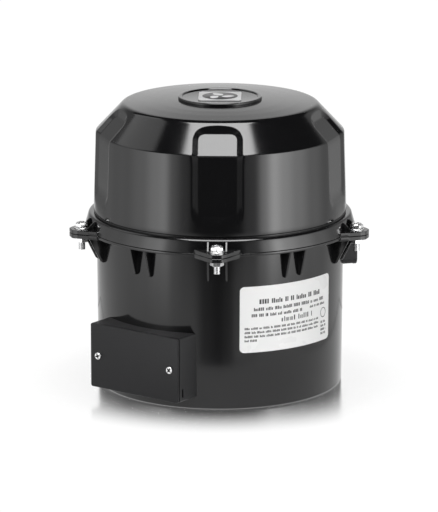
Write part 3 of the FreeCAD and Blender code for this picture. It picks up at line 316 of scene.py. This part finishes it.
def new_finish(name, colour, other_colour, roughness, grain=(900.0, 0.00002), clouds=25.0, scratches=(60.0, 0.1),
               metallic=0.0, edge=(0.3, 0.3, 0.3), dust=0.02, specular=0.5):
    """A material with its own colours, roughness from low to high, grain scale and depth, and marks."""
    made = bpy.data.materials.new(name)
    made.use_nodes = True
    tree = made.node_tree
    shader = tree.nodes["Principled BSDF"]
    marks = tree.nodes.new("ShaderNodeGroup")
    marks.node_tree = marks_group
    feed(tree, marks, Grain_Scale=grain[0], Cloud_Scale=clouds, Scratch_Scale=scratches[0])
    base = blend_colour(tree, marks.outputs["Cloud"], colour, other_colour)
    worn = blend_colour(tree, maths(tree, "MULTIPLY", marks.outputs["Edge"], WORN_SHARE), base, edge)
    dusty = blend_colour(tree, maths(tree, "MULTIPLY", marks.outputs["Dust"], dust), worn, DUST_COLOUR)
    spread = blend_value(tree, marks.outputs["Cloud"], roughness[0], roughness[1])
    rough = maths(tree, "ADD", spread, maths(tree, "MULTIPLY", marks.outputs["Scratch"], scratches[1]), clamp=True)
    bump = node(tree, "Bump", Height=marks.outputs["Grain"], Distance=grain[1], Strength=0.6)
    feed(tree, shader, Base_Color=dusty, Roughness=rough, Normal=bump.outputs[0], Metallic=metallic)
    shader.inputs["Specular IOR Level"].default_value = specular
    return made


gloss_black = new_finish("gloss_black_abs", (0.0045, 0.0045, 0.0050), (0.0058, 0.0058, 0.0062), (0.10, 0.15),
                         (1500.0, 0.000006), 30.0, (40.0, 0.10), edge=(0.03, 0.03, 0.03), dust=0.03)
MM = 0.001
CLAMP_TURNS = [0, 72, 144, 216, 288]
lid_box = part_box("upper_housing")
lid_top, lid_bottom = lid_box[1][2] / MM, lid_box[0][2] / MM


class Shape:
    """Collects the points and faces of one piece, in millimetres."""

    def __init__(self):
        self.points, self.faces = [], []

    def add(self, points, faces, where=None):
        """Adds points, and faces that count those points from 0."""
        first = len(self.points)
        self.points += [where @ Vector(p) if where else Vector(p) for p in points]
        self.faces += [[first + i for i in face] for face in faces]

    def grid(self, rows, close_rows=False, where=None):
        """Faces between rows of equally many points, each of them a closed ring."""
        width = len(rows[0])
        faces = []
        for k in range(len(rows) if close_rows else len(rows) - 1):
            low, high = k * width, (k + 1) % len(rows) * width
            faces += [(low + i, low + (i + 1) % width, high + (i + 1) % width, high + i) for i in range(width)]
        self.add([p for row in rows for p in row], faces, where)

    def turned(self, profile, steps=48, where=None, closed=False):
        """A solid of revolution about Z from (radius, height) points."""
        angles = [2 * math.pi * k / steps for k in range(steps)]
        rows = [[(r * math.sin(a), -r * math.cos(a), z) for a in angles] for r, z in profile]
        self.grid(rows, closed, where)

    def prism(self, outline, low, high, bevel=0.3, where=None, segments=2):
        """A closed outline pushed up from one height to another, with all its edges rounded."""
        made = bmesh.new()
        face = made.faces.new([made.verts.new((x, y, low)) for x, y in outline])
        grown = bmesh.ops.extrude_face_region(made, geom=[face])["geom"]
        bmesh.ops.translate(made, vec=(0, 0, high - low),
                            verts=[v for v in grown if isinstance(v, bmesh.types.BMVert)])
        bmesh.ops.recalc_face_normals(made, faces=made.faces)
        sharp = [e for e in made.edges if e.calc_face_angle(0) > 0.6]
        if bevel:
            bmesh.ops.bevel(made, geom=sharp, offset=bevel, segments=segments, profile=0.5, affect="EDGES",
                            clamp_overlap=True)
        made.verts.index_update()
        self.add([v.co.copy() for v in made.verts], [[v.index for v in f.verts] for f in made.faces], where)
        made.free()

    def plate(self, outline, centre, hole, low, high, bevel=0.3, where=None, steps=64):
        """A plate with a round hole and rounded edges; its outline is seen whole from the hole's centre."""
        middle = Vector(centre)
        angles = sorted([2 * math.pi * k / steps - math.pi for k in range(steps)]
                        + [math.atan2(p[1] - middle.y, p[0] - middle.x) for p in outline])
        reach = []
        for angle in angles:
            towards = Vector((math.cos(angle), math.sin(angle)))
            best = 1e9
            for i, corner in enumerate(outline):
                start, end = Vector(outline[i - 1]) - middle, Vector(corner) - middle
                along = end - start
                across = towards.x * along.y - towards.y * along.x
                if abs(across) > 1e-9:
                    far = (start.x * along.y - start.y * along.x) / across
                    share = (start.x * towards.y - start.y * towards.x) / across
                    if far > 0 and -1e-6 <= share <= 1 + 1e-6:
                        best = min(best, far)
            reach.append(best)
        rows = []
        for inset, is_hole, z in ((0, 1, low + bevel), (0, 1, high - bevel), (bevel, 1, high), (bevel, 0, high),
                                  (0, 0, high - bevel), (0, 0, low + bevel), (bevel, 0, low), (bevel, 1, low)):
            radii = [hole + inset if is_hole else far - inset for far in reach]
            rows.append([(middle.x + r * math.cos(a), middle.y + r * math.sin(a), z)
                         for r, a in zip(radii, angles)])
        self.grid(rows, True, where)

    def piece(self, name, material, body, *replaced, sharp=35):
        """Makes the object, in metres, and hands it to the frame."""
        made = mesh_object(name, [p * MM for p in self.points], self.faces)
        tidy = bmesh.new()
        tidy.from_mesh(made.data)
        bmesh.ops.remove_doubles(tidy, verts=tidy.verts, dist=1e-7)
        bmesh.ops.recalc_face_normals(tidy, faces=tidy.faces)
        tidy.to_mesh(made.data)
        tidy.free()
        made.data.set_sharp_from_angle(angle=math.radians(sharp))
        made.data.materials.append(material)
        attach(made, body)
        if replaced:
            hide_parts(*replaced)
        return made


def turn_by(azimuth):
    """A turn about the blower's axis, in degrees."""
    return Matrix.Rotation(math.radians(azimuth), 4, "Z")


def rounded(corners, closed=False):
    """Points along a path whose corners, (x, y) or (x, y, rounding), are rounded."""
    path = []
    for i, corner in enumerate(corners):
        here = Vector(corner[:2])
        if len(corner) < 3 or (not closed and i in (0, len(corners) - 1)):
            path.append(tuple(here))
            continue
        before = (Vector(corners[i - 1][:2]) - here).normalized()
        after = (Vector(corners[(i + 1) % len(corners)][:2]) - here).normalized()
        opening = before.angle(after)
        trim = corner[2] / math.tan(opening / 2)
        centre = here + (before + after).normalized() * (corner[2] / math.sin(opening / 2))
        start, end = here + before * trim - centre, here + after * trim - centre
        angle = math.atan2(start.y, start.x)
        turn = (math.atan2(end.y, end.x) - angle + math.pi) % (2 * math.pi) - math.pi
        steps = max(3, int(abs(turn) / 0.2))
        for k in range(steps + 1):
            a = angle + turn * k / steps
            path.append((centre.x + corner[2] * math.cos(a), centre.y + corner[2] * math.sin(a)))
    return path


def finely(path, spacing):
    """The path with more points, no farther apart than spacing(height) gives."""
    result = [path[0]]
    for start, end in zip(path, path[1:]):
        start, end = Vector(start), Vector(end)
        gap = spacing(0.5 * (start.y + end.y))
        count = max(1, math.ceil((end - start).length / gap))
        result += [tuple(start.lerp(end, k / count)) for k in range(1, count + 1)]
    return result


CONE_START, CONE_RUN, CONE_RISE = 236.5, 25.1, 26.7
CONE_STRETCH = math.hypot(CONE_RUN, CONE_RISE) / CONE_RISE
RECESS_DEEP, RECESS_DRAFT = 113.0, 0.031  # the floor's distance from the axis at height 200, and its lean
RECESS_HALF, RECESS_MIDDLE, RECESS_REACH, RECESS_CORNER = 17.0, 221.6, 39.1, 6.0
RECESS_LOW, RECESS_HIGH = 172, 262  # no recess reaches past these heights
SKIN = 3.0


def soft_above(value, softness):
    """value where it is above 0 and else 0, with the corner rounded."""
    if abs(value) >= softness:
        return max(value, 0)
    return (value + softness) ** 2 / (4 * softness)


def recess(across, out, height, floor):
    """How far out a point of the lid's wall lies once the recess in front of a clamp is sunk in it."""
    up = height + soft_above(height - CONE_START, 0.2) * (CONE_STRETCH - 1)
    deep = floor + RECESS_DRAFT * (200 - min(height, CONE_START))
    deep -= soft_above(height - CONE_START + 0.15, 0.35) * CONE_RUN / CONE_RISE
    x = max(abs(across) - RECESS_HALF + RECESS_CORNER, 0)
    y = max(abs(up - RECESS_MIDDLE) - RECESS_REACH + RECESS_CORNER, 0)
    beyond = soft_above(math.hypot(x, y) - RECESS_CORNER, 0.3)
    on_cone = min(max((height - CONE_START) / 2, 0), 1)
    side, end = 0.23 + 0.18 * on_cone, 0.60 - 0.08 * on_cone
    sloped = deep + beyond * (side + (end - side) * y * y / max(x * x + y * y, 1e-9))
    return out - soft_above(out - sloped, 0.12)


def lid_rows(profile, floor):
    """The lid's surface as rings of points, with columns gathered round the sides of the recesses."""
    middle = [0.0, 3.0, 6.0, 8.5, 11.0]
    side = [10.8 + 0.75 * k for k in range(1, 21)] + [27.2]
    across = sorted(middle + side + [-v for v in middle[1:] + side])
    between = 18
    rows = []
    for radius, height in profile:
        wide = max(radius, 88.0)
        edge = math.degrees(math.asin(across[-1] / wide))
        ring = []
        for clamp in CLAMP_TURNS:
            columns = [(math.asin(t / wide), True) for t in across]
            columns += [(math.radians(edge + (72 - 2 * edge) * k / between), False) for k in range(1, between)]
            for angle, near in columns:
                x, out = radius * math.sin(angle), radius * math.cos(angle)
                if near and RECESS_LOW < height < RECESS_HIGH:
                    out = recess(x, out, height, floor)
                ring.append(turn_by(clamp) @ Vector((x, -out, height)))
        rows.append(ring)
    return rows


def wall_spacing(height):
    """The lid's rings stand closest where the recesses' ends and the cone's edge are."""
    if height < RECESS_LOW or 193 < height < 233:
        return 4.5
    return 0.8 if height < RECESS_HIGH else 2.5


outside = finely(rounded([
    (0.5, lid_top), (39.9, lid_top), (64.5, lid_top - 0.98, 880), (90.6, lid_top - 3.3, 7.0), (115.7, 238, 2.4),
    (118, 163.8, 0.45), (116.9, 163.3, 0.25), (116.9, 162.0, 0.25), (122.5, 162, 3.0),
    (126, 149.9, 0.4), (125.6, 149.6)]), wall_spacing)
inside = finely(rounded([
    (125.6, 149.6), (112.8, 149.6), (112.8, 152.8), (119.5, 152.8), (119.5, 159.0, 1.5), (115, 163.8, 3.0),
    (112.7, 236.8, 4.0), (89.2, 261.5, 6.0), (63.5, 264.0), (0.5, 265.0)]),
    lambda height: 4.0 if height < RECESS_LOW or 194 < height < 234 else 1.6)
lid = Shape()
lid.grid(lid_rows(outside, RECESS_DEEP) + lid_rows(inside[1:], RECESS_DEEP - SKIN))
EAR = rounded([(21, -120.0), (21, -124.5, 2.5), (9, -140.8, 4.0), (5, -144.6, 4.4), (-5, -144.6, 4.4),
               (-9, -140.8, 4.0), (-21, -124.5, 2.5), (-21, -120.0)])
BOLT_SPOT, BOLT_HOLE, EAR_BEVEL, EAR_TOP = (0, -133.7), 3.5, 0.35, 153.3
WEB_OFFSETS, WEB_HALF = (8.4, -8.4), 1
SIDE_ON = Matrix(((0, 0, 1, 0), (1, 0, 0, 0), (0, 1, 0, 0), (0, 0, 0, 1)))
for azimuth in CLAMP_TURNS:
    lid.plate(EAR, BOLT_SPOT, BOLT_HOLE, lid_bottom, EAR_TOP, EAR_BEVEL, turn_by(azimuth))
    for offset in WEB_OFFSETS:
        web = rounded([(-118.5, 150.6), (-131.5, 150.6), (-132.0, EAR_TOP), (-124.1, 160.4, 1.5), (-118.5, 161)])
        lid.prism(web, offset - WEB_HALF, offset + WEB_HALF, 0.35, turn_by(azimuth) @ SIDE_ON)
lid.piece("lid_shell", gloss_black, "lid", "upper_housing")

# ---- Canister ---------------------------------------------------------------------------------------------
# The lower half, moulded in the same gloss black: a straight can with a flange, pairs of thin webs under it,
# five clamp ears, and the outlet socket in its floor.

CAN_FOOT_RADIUS, CAN_TOP_RADIUS, CAN_HIGH, FLANGE_TOP, EAR_FOOT = 114.3, 115.4, 146.7, 149.3, 145.5
HOOD_STATION = 3  # the webs stand every 36 degrees, and the intake hood takes the place of this pair
canister = Shape()
canister.turned(finely(rounded([
    (30.2, 0.0), (CAN_FOOT_RADIUS, 0.0, 2.0), (CAN_TOP_RADIUS, CAN_HIGH), (126.0, CAN_HIGH, 0.4),
    (126.0, FLANGE_TOP, 0.4), (117.8, FLANGE_TOP, 0.2), (117.8, 147.5), (114.2, 147.5), (114.2, FLANGE_TOP, 0.2),
    (112.4, FLANGE_TOP, 0.2), (112.4, 141.0), (106.5, 141.0, 0.3),
    (106.5, 138.0), (112.2, 132.0), (111.3, 3.5, 2.0), (34.0, 3.5), (34.0, 42.0, 0.5), (26.5, 42.0, 0.5),
    (26.5, 38.0), (30.2, 38.0)], True), lambda height: 30), 300, closed=True)
for station in range(10):
    reach = 130.5 if station % 2 == 0 else 125.5
    web = rounded([(-114.2, 147.0), (-reach, 147.0), (-118.4, 122.4, 1.8), (-116.4, 121.2, 1.0), (-114.2, 121.2)])
    for offset in WEB_OFFSETS if station != HOOD_STATION else ():
        canister.prism(web, offset - WEB_HALF, offset + WEB_HALF, 0.35, turn_by(36 * station) @ SIDE_ON)
for azimuth in CLAMP_TURNS:
    canister.plate(EAR, BOLT_SPOT, BOLT_HOLE, EAR_FOOT, FLANGE_TOP, EAR_BEVEL, turn_by(azimuth))
canister.piece("canister_shell", gloss_black, "base", "lower_housing")

# ---- Clamp hardware ---------------------------------------------------------------------------------------
# Five bright zinc bolts with flanged hex heads, a cross recess and a rolled thread, each on a flat washer and
# drawn up by a hex nut under the canister's ear.

zinc = new_finish("bright_zinc", (0.72, 0.73, 0.76), (0.80, 0.79, 0.76), (0.22, 0.34), (1800.0, 0.00001), 160.0,
                  (300.0, 0.15), metallic=1.0, edge=(0.9, 0.9, 0.92))
WASHER_TOP, NUT_FOOT = 154.1, 140.6
HEX_REACH, THREAD_RADIUS, THREAD_ROOT, THREAD_PITCH = 6.35, 3.05, 2.5, 1.02
HEX = [(HEX_REACH * math.cos(math.radians(60 * k)), HEX_REACH * math.sin(math.radians(60 * k))) for k in range(6)]


def clamp_spot(azimuth, spin=0):
    """Where a clamp's bolt stands, its hexagon turned a little, as a wrench leaves it."""
    return turn_by(azimuth) @ Matrix.Translation((*BOLT_SPOT, 0)) @ turn_by(spin)


bolts, washers, nuts = Shape(), Shape(), Shape()
for number, azimuth in enumerate(CLAMP_TURNS):
    here = clamp_spot(azimuth, 30 + 17 * number)
    bolts.prism(HEX, WASHER_TOP, 158.1, 0.5, here)
    bolts.turned(rounded([(5.6, 158.0), (4.9, 158.9, 0.9), (3.6, 159.35, 1.0), (2.4, 159.35)]), 32, here)
    bolts.turned([(2.4, 159.35), (2.1, 157.9), (0.01, 157.6)], 4, here @ turn_by(45))
    thread = []
    for turn in range(7):
        rise = 133.4 + THREAD_PITCH * turn
        thread += [(THREAD_RADIUS, rise), (THREAD_RADIUS, rise + 0.3), (THREAD_ROOT, rise + 0.66)]
    bolts.turned([(0.01, 133.2), (2.4, 133.2), *thread, (3.08, NUT_FOOT), (3.08, WASHER_TOP + 0.1),
                  (0.01, WASHER_TOP + 0.1)], 28, here)
    ring = [(7.0 * math.cos(a / 24 * math.pi), 7.0 * math.sin(a / 24 * math.pi)) for a in range(48)]
    washers.plate(ring, (0, 0), 3.25, EAR_TOP, WASHER_TOP, 0.15, here)
    nuts.plate(HEX, (0, 0), 3.2, NUT_FOOT, EAR_FOOT, 0.45, clamp_spot(azimuth, 11 * number))
bolts.piece("clamp_bolt_set", zinc, "lid", "clamp_bolts")
washers.piece("clamp_washer_set", zinc, "lid", "clamp_washers")
nuts.piece("clamp_nut_set", zinc, "base", "clamp_nuts")

# ---- Badge ------------------------------------------------------------------------------------------------
# A round black medallion with a rolled rim, pressed on the crown, and a square satin plate bonded in its field.
# The plate has a dark disc with a plain three-blade fan printed on it.

BADGE_FOOT, BADGE_FIELD, BADGE_TOP, PLATE_TOP = 268.0, 269.5, 270.58, 270.25
PLATE_HALF, DISC_RADIUS = 19.75, 16.5
medallion = Shape()
medallion.turned(rounded([(0.01, BADGE_FOOT), (39.0, BADGE_FOOT, 0.2), (39.0, BADGE_TOP, 0.8),
                          (35.6, BADGE_TOP, 0.5), (34.8, BADGE_FIELD, 0.3), (0.01, BADGE_FIELD)]), 128)
medallion.piece("badge_medallion", gloss_black, "lid", "medallion")
satin_plate = new_finish("satin_plate", (0.66, 0.66, 0.67), (0.72, 0.72, 0.72), (0.34, 0.42), (2400.0, 0.00002),
                         90.0, (200.0, 0.12), edge=(0.8, 0.8, 0.8))
plate = Shape()
plate.prism(rounded([(PLATE_HALF, -PLATE_HALF, 3), (PLATE_HALF, PLATE_HALF, 3), (-PLATE_HALF, PLATE_HALF, 3),
                     (-PLATE_HALF, -PLATE_HALF, 3)], True), BADGE_FIELD, PLATE_TOP, 0.2)
plate.piece("badge_plate", satin_plate, "lid", "nameplate_inset")
black_ink = new_finish("black_ink", (0.012, 0.012, 0.013), (0.02, 0.02, 0.02), (0.30, 0.42), (1500.0, 0.00001),
                       60.0, (90.0, 0.1))
symbol, blades = Shape(), Shape()
symbol.prism([(DISC_RADIUS * math.cos(k / 32 * math.pi), DISC_RADIUS * math.sin(k / 32 * math.pi))
              for k in range(64)], 270.22, 270.32, 0.03)
symbol.piece("badge_disc", black_ink, "lid")
white_ink = new_finish("white_ink", (0.80, 0.80, 0.80), (0.85, 0.85, 0.85), (0.35, 0.45), (1500.0, 0.00001), 60.0,
                       (90.0, 0.1), edge=(0.9, 0.9, 0.9))
for blade in range(3):
    outline = []
    for step in (*range(13), *range(11, 0, -1)):
        along, side = step / 12, 1 if len(outline) < 13 else -1
        out, bend = 1.6 + 11.8 * along, 0.5 * along
        half = 4.4 * math.sin(math.pi * along) ** 0.8 * side
        outline.append((out * math.cos(bend) - half * math.sin(bend), out * math.sin(bend) + half * math.cos(bend)))
    blades.prism(outline, 270.31, 270.38, 0.0, turn_by(90 + 120 * blade))
blades.piece("badge_blades", white_ink, "lid")

# ---- Rating label -----------------------------------------------------------------------------------------
# A white polyester label glued round the can. Its print is shown only as rows of plain dark blocks and one ring,
# in black ink.


def dress(material, *names):
    """Gives CAD nodes a material, in every slot they have."""
    for name in names:
        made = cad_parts[name]
        if not made.data.materials:
            made.data.materials.append(material)
        for slot in range(len(made.material_slots)):
            made.material_slots[slot].material = material


label_film = new_finish("label_film", (0.90, 0.90, 0.90), (0.93, 0.93, 0.92), (0.24, 0.32), (3000.0, 0.000004),
                        30.0, (80.0, 0.1), edge=(0.9, 0.9, 0.9), dust=0.0)
dress(label_film, "rating_label")
label_ink = new_finish("label_ink", (0.02, 0.02, 0.02), (0.05, 0.05, 0.05), (0.4, 0.5), (900.0, 0.00001), 400.0,
                       (90.0, 0.1))
pick = random.Random(7)
printing = Shape()
LABEL_TOP, LABEL_TURN = 115.5, 36


def on_label(along, down, lift=0.31):
    """A place on the label, from its centre line and its top edge."""
    height = LABEL_TOP - down
    radius = CAN_FOOT_RADIUS + (CAN_TOP_RADIUS - CAN_FOOT_RADIUS) * height / CAN_HIGH + lift
    angle = math.radians(LABEL_TURN) + math.asin(along / radius)
    return Vector((radius * math.sin(angle), -radius * math.cos(angle), height))


def block_row(start, end, down, tall, heavy=0.72):
    """Small dark blocks, grouped as words are, along one line of the label."""
    along = start
    while along < end:
        for _ in range(pick.randint(2, 7)):
            wide = tall * pick.uniform(0.34, 0.62)
            low = down + tall * pick.choice((0.0, 0.0, 0.28))
            if along + wide > end:
                break
            foot = down + tall
            printing.add([on_label(along, low), on_label(along + wide * heavy, low),
                          on_label(along + wide * heavy, foot), on_label(along, foot)], [(0, 1, 2, 3)])
            along += wide
        along += tall * 0.55


block_row(-33, 37, 12.5, 4.4)
block_row(-38, 41, 20.2, 3.1)
block_row(-40, 13, 26.0, 2.9)
block_row(22, 43, 25.6, 2.2)
block_row(-11, 27, 31.0, 4.6, 0.5)
for line, (end, down) in enumerate(((34, 38.6), (35, 42.4), (35, 46.2), (-33, 50.0))):
    block_row(-46, end, down, 2.1)
for line in range(4):
    block_row(37.5, 45.5, 43.5 + 3.6 * line, 2.2)
rim = [(k / 24 * math.pi, r) for k in range(48) for r in (4.1, 4.8)]
printing.add([on_label(41.0 + 0.82 * r * math.cos(a), 35.8 + r * math.sin(a)) for a, r in rim],
             [(2 * k, 2 * k + 1, (2 * k + 3) % 96, (2 * k + 2) % 96) for k in range(48)])
printing.piece("label_print", label_ink, "base")

# ---- Junction box -----------------------------------------------------------------------------------------
# A satin black wiring box on the can's left, with a flat moulded cover held by two pan head screws. The leads are
# joined inside it.

box_black = new_finish("box_black", (0.012, 0.012, 0.013), (0.015, 0.015, 0.016), (0.34, 0.44),
                       (2600.0, 0.00006), 40.0, (50.0, 0.08), edge=(0.06, 0.06, 0.06), dust=0.05, specular=0.2)
dress(box_black, "junction_box")
dress(zinc, "junction_box_screws")
BOX = turn_by(-36)
FACING = Matrix.Rotation(math.radians(90), 4, "X")
BOX_RISE, COVER_FACE, SCREW_SPACING = 41.55, 130.6, 83.34


def cross_outline(reach, angles):
    """A rounded cross with four arms."""
    return [Vector((math.cos(a), math.sin(a))) * reach * (0.45 + 0.55 * abs(math.cos(2 * a)) ** 3) for a in angles]


def cross_head(head, pit, radius, high, cross, where):
    """A pan head on Z = 0 with a shank under it, and the cross recess in it."""
    angles = [2 * math.pi * k / 64 for k in range(64)]
    side = rounded([(0.02, -7.0), (radius * 0.5, -7.0), (radius * 0.5, 0.0), (radius, 0.0, 0.12),
                    (radius, high * 0.85, high * 0.5), (cross * 1.08, high)])
    head.grid([[(r * math.cos(a), r * math.sin(a), z) for a in angles] for r, z in side]
              + [[(p.x, p.y, high) for p in cross_outline(cross, angles)]], where=where)
    pit.grid([[(p.x * share, p.y * share, high * depth) for p in cross_outline(cross, angles)]
              for share, depth in ((1.0, 1.0), (0.93, 0.6), (0.55, 0.15), (0.01, 0.05))], where=where)


def slab(half, low, high, corner):
    """The outline of a plate on the box's front, about the box's middle line."""
    return rounded([(-half, low, corner), (half, low, corner), (half, high, corner), (-half, high, corner)], True)


cover = Shape()
cover.prism(slab(50.9, 11.3, 71.8, 2.0), 128.55, COVER_FACE, 0.45, BOX @ FACING, 3)
cover.prism(slab(50.1, 12.1, 71.0, 1.5), 128.0, 128.7, 0.0, BOX @ FACING)
cover.piece("box_cover_plate", box_black, "box_cover", "junction_cover")
cover_screws, cover_pits = Shape(), Shape()
for side, spin in ((-1, 20), (1, 52)):
    spot = Matrix.Translation((SCREW_SPACING / 2 * side, -COVER_FACE, BOX_RISE))
    cross_head(cover_screws, cover_pits, 3.3, 1.7, 2.75, BOX @ spot @ FACING @ turn_by(spin))
cover_screws.piece("box_cover_screws", zinc, "box_cover", "cover_screws")
# The cross recesses are a separate piece in a dark finish: painted shade, standing in for the shadow down inside
# each recess.
recess_shade = new_finish("painted_recess_shade", (0.02, 0.02, 0.02), (0.04, 0.04, 0.04), (0.5, 0.65), (1800.0, 0.00001),
                     160.0, (90.0, 0.1), metallic=0.3, specular=0.2)
cover_pits.piece("box_cover_recesses", recess_shade, "box_cover")

# ---- Intake hood ------------------------------------------------------------------------------------------
# A small moulded hood screwed on the can's wall, with a duct and a screen behind it. The fan's air comes in under
# the hood.

dress(box_black, "intake_hood", "intake_screen", "intake_duct")
dress(zinc, "hood_screws")

# ---- Seals, foam and inner metal --------------------------------------------------------------------------
# What shows when the blower is opened: rubber seals, open foam glued in the lid and the chamber, pressed and cast
# metal round the fan, plated screws, and the motor's core, windings and brushes.

rubber = new_finish("seal_rubber", (0.016, 0.016, 0.016), (0.026, 0.026, 0.025), (0.62, 0.78), (1400.0, 0.00008),
                    60.0, (50.0, 0.05), edge=(0.05, 0.05, 0.05), dust=0.25)
dress(rubber, "housing_gasket", "wire_grommet", "motor_gasket")
foam = new_finish("open_foam", (0.035, 0.035, 0.037), (0.06, 0.06, 0.062), (0.9, 0.98), (700.0, 0.0012), 200.0,
                  (30.0, 0.0), edge=(0.09, 0.09, 0.09), dust=0.3)
dress(foam, "acoustic_liner", "chamber_foam")
sheet_metal = new_finish("galvanised_sheet", (0.52, 0.53, 0.55), (0.66, 0.67, 0.68), (0.30, 0.48),
                         (1200.0, 0.00002), 70.0, (120.0, 0.2), metallic=1.0, edge=(0.8, 0.8, 0.82), dust=0.1)
dress(sheet_metal, "fan_shell", "partition_plate")
cast_metal = new_finish("cast_aluminium", (0.50, 0.50, 0.51), (0.60, 0.60, 0.60), (0.42, 0.58), (900.0, 0.00012),
                        60.0, (60.0, 0.1), metallic=1.0, edge=(0.75, 0.75, 0.76), dust=0.15)
dress(cast_metal, "fan_end_bracket", "brush_end_bracket", "impeller_lower", "impeller_upper", "stage_diffuser",
      "fan_spacer", "lower_spacer")
ground_steel = new_finish("ground_steel", (0.55, 0.55, 0.57), (0.62, 0.62, 0.63), (0.18, 0.3), (2600.0, 0.00001),
                          90.0, (240.0, 0.15), metallic=1.0, edge=(0.8, 0.8, 0.8))
dress(ground_steel, "upper_bearing", "lower_bearing", "motor_shaft")
dress(zinc, "partition_screws", "motor_mount_screws", "motor_through_bolts", "shaft_nut", "fan_washer")
lamination = new_finish("core_laminations", (0.22, 0.22, 0.235), (0.30, 0.30, 0.31), (0.4, 0.55), (2200.0, 0.00006),
                        90.0, (90.0, 0.1), metallic=0.9, edge=(0.5, 0.5, 0.5), dust=0.1)
dress(lamination, "stator_core", "armature_core")
copper = new_finish("enamelled_copper", (0.50, 0.17, 0.06), (0.62, 0.25, 0.10), (0.25, 0.4), (1700.0, 0.00015),
                    150.0, (90.0, 0.1), metallic=0.9, edge=(0.8, 0.45, 0.25))
dress(copper, "stator_windings", "armature_windings", "commutator")
dress(new_finish("pressed_carbon", (0.02, 0.02, 0.022), (0.04, 0.04, 0.042), (0.5, 0.7), (2000.0, 0.00005), 120.0,
                 (90.0, 0.1), edge=(0.12, 0.12, 0.12)), "left_brush", "right_brush")
dress(new_finish("stamped_brass", (0.60, 0.42, 0.16), (0.68, 0.50, 0.22), (0.25, 0.38), (1500.0, 0.00002), 90.0,
                 (120.0, 0.15), metallic=1.0, edge=(0.9, 0.75, 0.45)), "left_brush_holder", "right_brush_holder")

# ---- Brush springs ----------------------------------------------------------------------------------------
# Two small coil springs, one behind each carbon brush. A coil shortens against the closed end of its holder as
# the brush is pushed back.

COIL_RADIUS, WIRE_RADIUS, COIL_TURNS, TURN_STEPS = 2.0, 0.3, 6, 20
for side, name in ((1, "right"), (-1, "left")):
    low, high = (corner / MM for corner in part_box(f"{name}_brush_spring"))
    middle, length = (low + high) / 2, high.x - low.x
    rows = []
    for step in range(COIL_TURNS * TURN_STEPS + 1):
        share = step / (COIL_TURNS * TURN_STEPS)
        a = 2 * math.pi * step / TURN_STEPS
        outward, along = Vector((0, math.cos(a), math.sin(a))), Vector((1, 0, 0))
        spot = Vector((low.x + WIRE_RADIUS + (length - 2 * WIRE_RADIUS) * share, middle.y, middle.z))
        spot += outward * COIL_RADIUS
        thick = WIRE_RADIUS if 0 < share < 1 else 0.0
        rows.append([spot + thick * (outward * math.cos(b * math.pi / 4) + along * math.sin(b * math.pi / 4))
                     for b in range(8)])
    coil = Shape()
    coil.grid(rows)
    made = coil.piece(f"{name}_brush_coil", ground_steel, "base", f"{name}_brush_spring", sharp=60)
    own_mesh(made)

# ---- Wiring -----------------------------------------------------------------------------------------------
# Three insulated leads from the motor to the junction box, with the moulded caps and the green grounding screw
# that hold their ends there, and the motor's thermal protector.

for name, shade in (("black_lead", (0.012, 0.012, 0.012)), ("white_lead", (0.72, 0.72, 0.70)),
                    ("green_lead", (0.02, 0.20, 0.05))):
    lighter = tuple(1.25 * v + 0.004 for v in shade)
    dress(new_finish(f"{name}_insulation", shade, lighter, (0.34, 0.46), (1900.0, 0.00002), 90.0, (60.0, 0.1)),
          name)
dress(new_finish("cap_plastic", (0.70, 0.22, 0.02), (0.76, 0.27, 0.04), (0.32, 0.42), (1500.0, 0.00003), 90.0,
                 (60.0, 0.1), edge=(0.9, 0.5, 0.2)), "wire_connectors")
dress(new_finish("green_dyed_zinc", (0.05, 0.34, 0.12), (0.08, 0.42, 0.16), (0.2, 0.32), (1700.0, 0.00001), 120.0,
                 (200.0, 0.1), metallic=0.9, edge=(0.6, 0.8, 0.6)), "ground_screw")
dress(new_finish("phenolic", (0.34, 0.26, 0.16), (0.40, 0.31, 0.20), (0.4, 0.5), (1500.0, 0.00004), 90.0,
                 (60.0, 0.1)), "thermal_protector")
